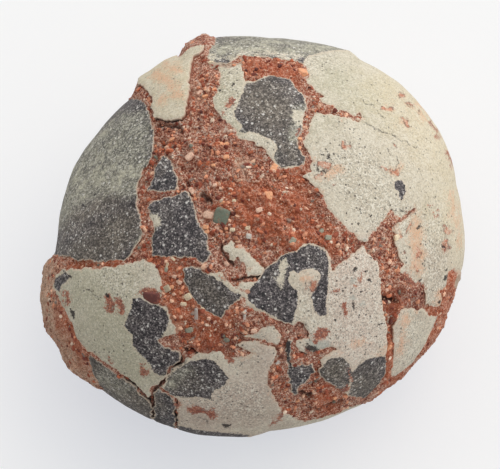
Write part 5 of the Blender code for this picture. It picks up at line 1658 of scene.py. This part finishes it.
def make_floor():
    half = TABLE_REACH
    mesh = bpy.data.meshes.new("floor")
    mesh.from_pydata([(-half, -half, 0), (half, -half, 0), (half, half, 0), (-half, half, 0)],
                     [], [(0, 1, 2, 3)])
    floor = bpy.data.objects.new("floor", mesh)
    bpy.context.collection.objects.link(floor)
    f = Finish("white table")
    seen = f.add("ShaderNodeLightPath", output="Is Camera Ray")
    f.set(f.shader.inputs["Base Color"], f.mix(TABLE_SHADE, TABLE_SEEN, seen))
    f.set(f.shader.inputs["Roughness"], 0.9)
    f.set(f.shader.inputs["Emission Color"], f.mix(NO_GLOW, TABLE_GLOW, seen))
    f.set(f.shader.inputs["Emission Strength"], 1.0)
    mesh.materials.append(f.material)
    print("floor", 2 * half, "m wide")


make_floor()

# %% The light tent
TENT_LIGHT = 0.70               # the world's brightness, level
TENT_LEAN = (0.40, 0.50, 0.10)  # how much brighter it is toward each axis
TENT_COLOUR = (0.97, 0.98, 1.0, 1.0)


def make_tent():
    world = bpy.data.worlds.new("light tent")
    tent = Nodes(world)
    direction = tent.add("ShaderNodeTexCoord", output="Generated")
    lean = tent.add("ShaderNodeVectorMath", {"operation": "DOT_PRODUCT"},
                    {0: direction, 1: TENT_LEAN}, output="Value")
    background = tent.tree.nodes["Background"]
    tent.set(background.inputs["Strength"], lean + TENT_LIGHT)
    tent.set(background.inputs["Color"], TENT_COLOUR)
    bpy.context.scene.world = world
    print("tent", len(tent.tree.nodes), "nodes")


make_tent()

# %% The sun lamp
SUN_LIGHT = 0.55
SUN_WIDTH = math.radians(55.0)
SUN_COLOUR = (1.0, 0.95, 0.88)
TOWARD_SUN = (0.50, 0.45, 0.74)


def make_sun():
    lamp = bpy.data.lights.new("window", "SUN")
    lamp.energy, lamp.angle, lamp.color = SUN_LIGHT, SUN_WIDTH, SUN_COLOUR
    sun = bpy.data.objects.new("window", lamp)
    sun.rotation_euler = Vector(TOWARD_SUN).to_track_quat("Z", "Y").to_euler()
    bpy.context.collection.objects.link(sun)
    bpy.context.scene.view_settings.view_transform = "Standard"
    print("sun", round(math.degrees(math.asin(Vector(TOWARD_SUN).normalized().z))), "degrees up")


make_sun()

# %% Camera
SENSOR_WIDTH = 36.0
PICTURE_WIDTH = 500.0 / 3.0     # mm of the sheet from side to side
CLIP = (0.05, 20.0)             # metres, the nearest and the furthest that is drawn


def make_camera():
    """On the line of sight, aimed at the sheet's middle, so that the sheet fills the picture."""
    data = bpy.data.cameras.new("camera")
    data.sensor_width = SENSOR_WIDTH
    data.lens = data.sensor_width * SIGHT_DISTANCE / PICTURE_WIDTH
    data.clip_start, data.clip_end = CLIP
    camera = bpy.data.objects.new("camera", data)
    body = np.array([MIDDLE[0], MIDDLE[1], REST_HEIGHT])
    aim = body - SHEET_MIDDLE[0] * RIGHT - SHEET_MIDDLE[1] * UP
    camera.location = Vector((aim + SIGHT_DISTANCE * TOWARD_EYE) * MM)
    camera.rotation_euler = Vector(TOWARD_EYE).to_track_quat("Z", "Y").to_euler()
    bpy.context.collection.objects.link(camera)
    bpy.context.scene.camera = camera
    print("lens", round(data.lens, 1), "mm")


make_camera()
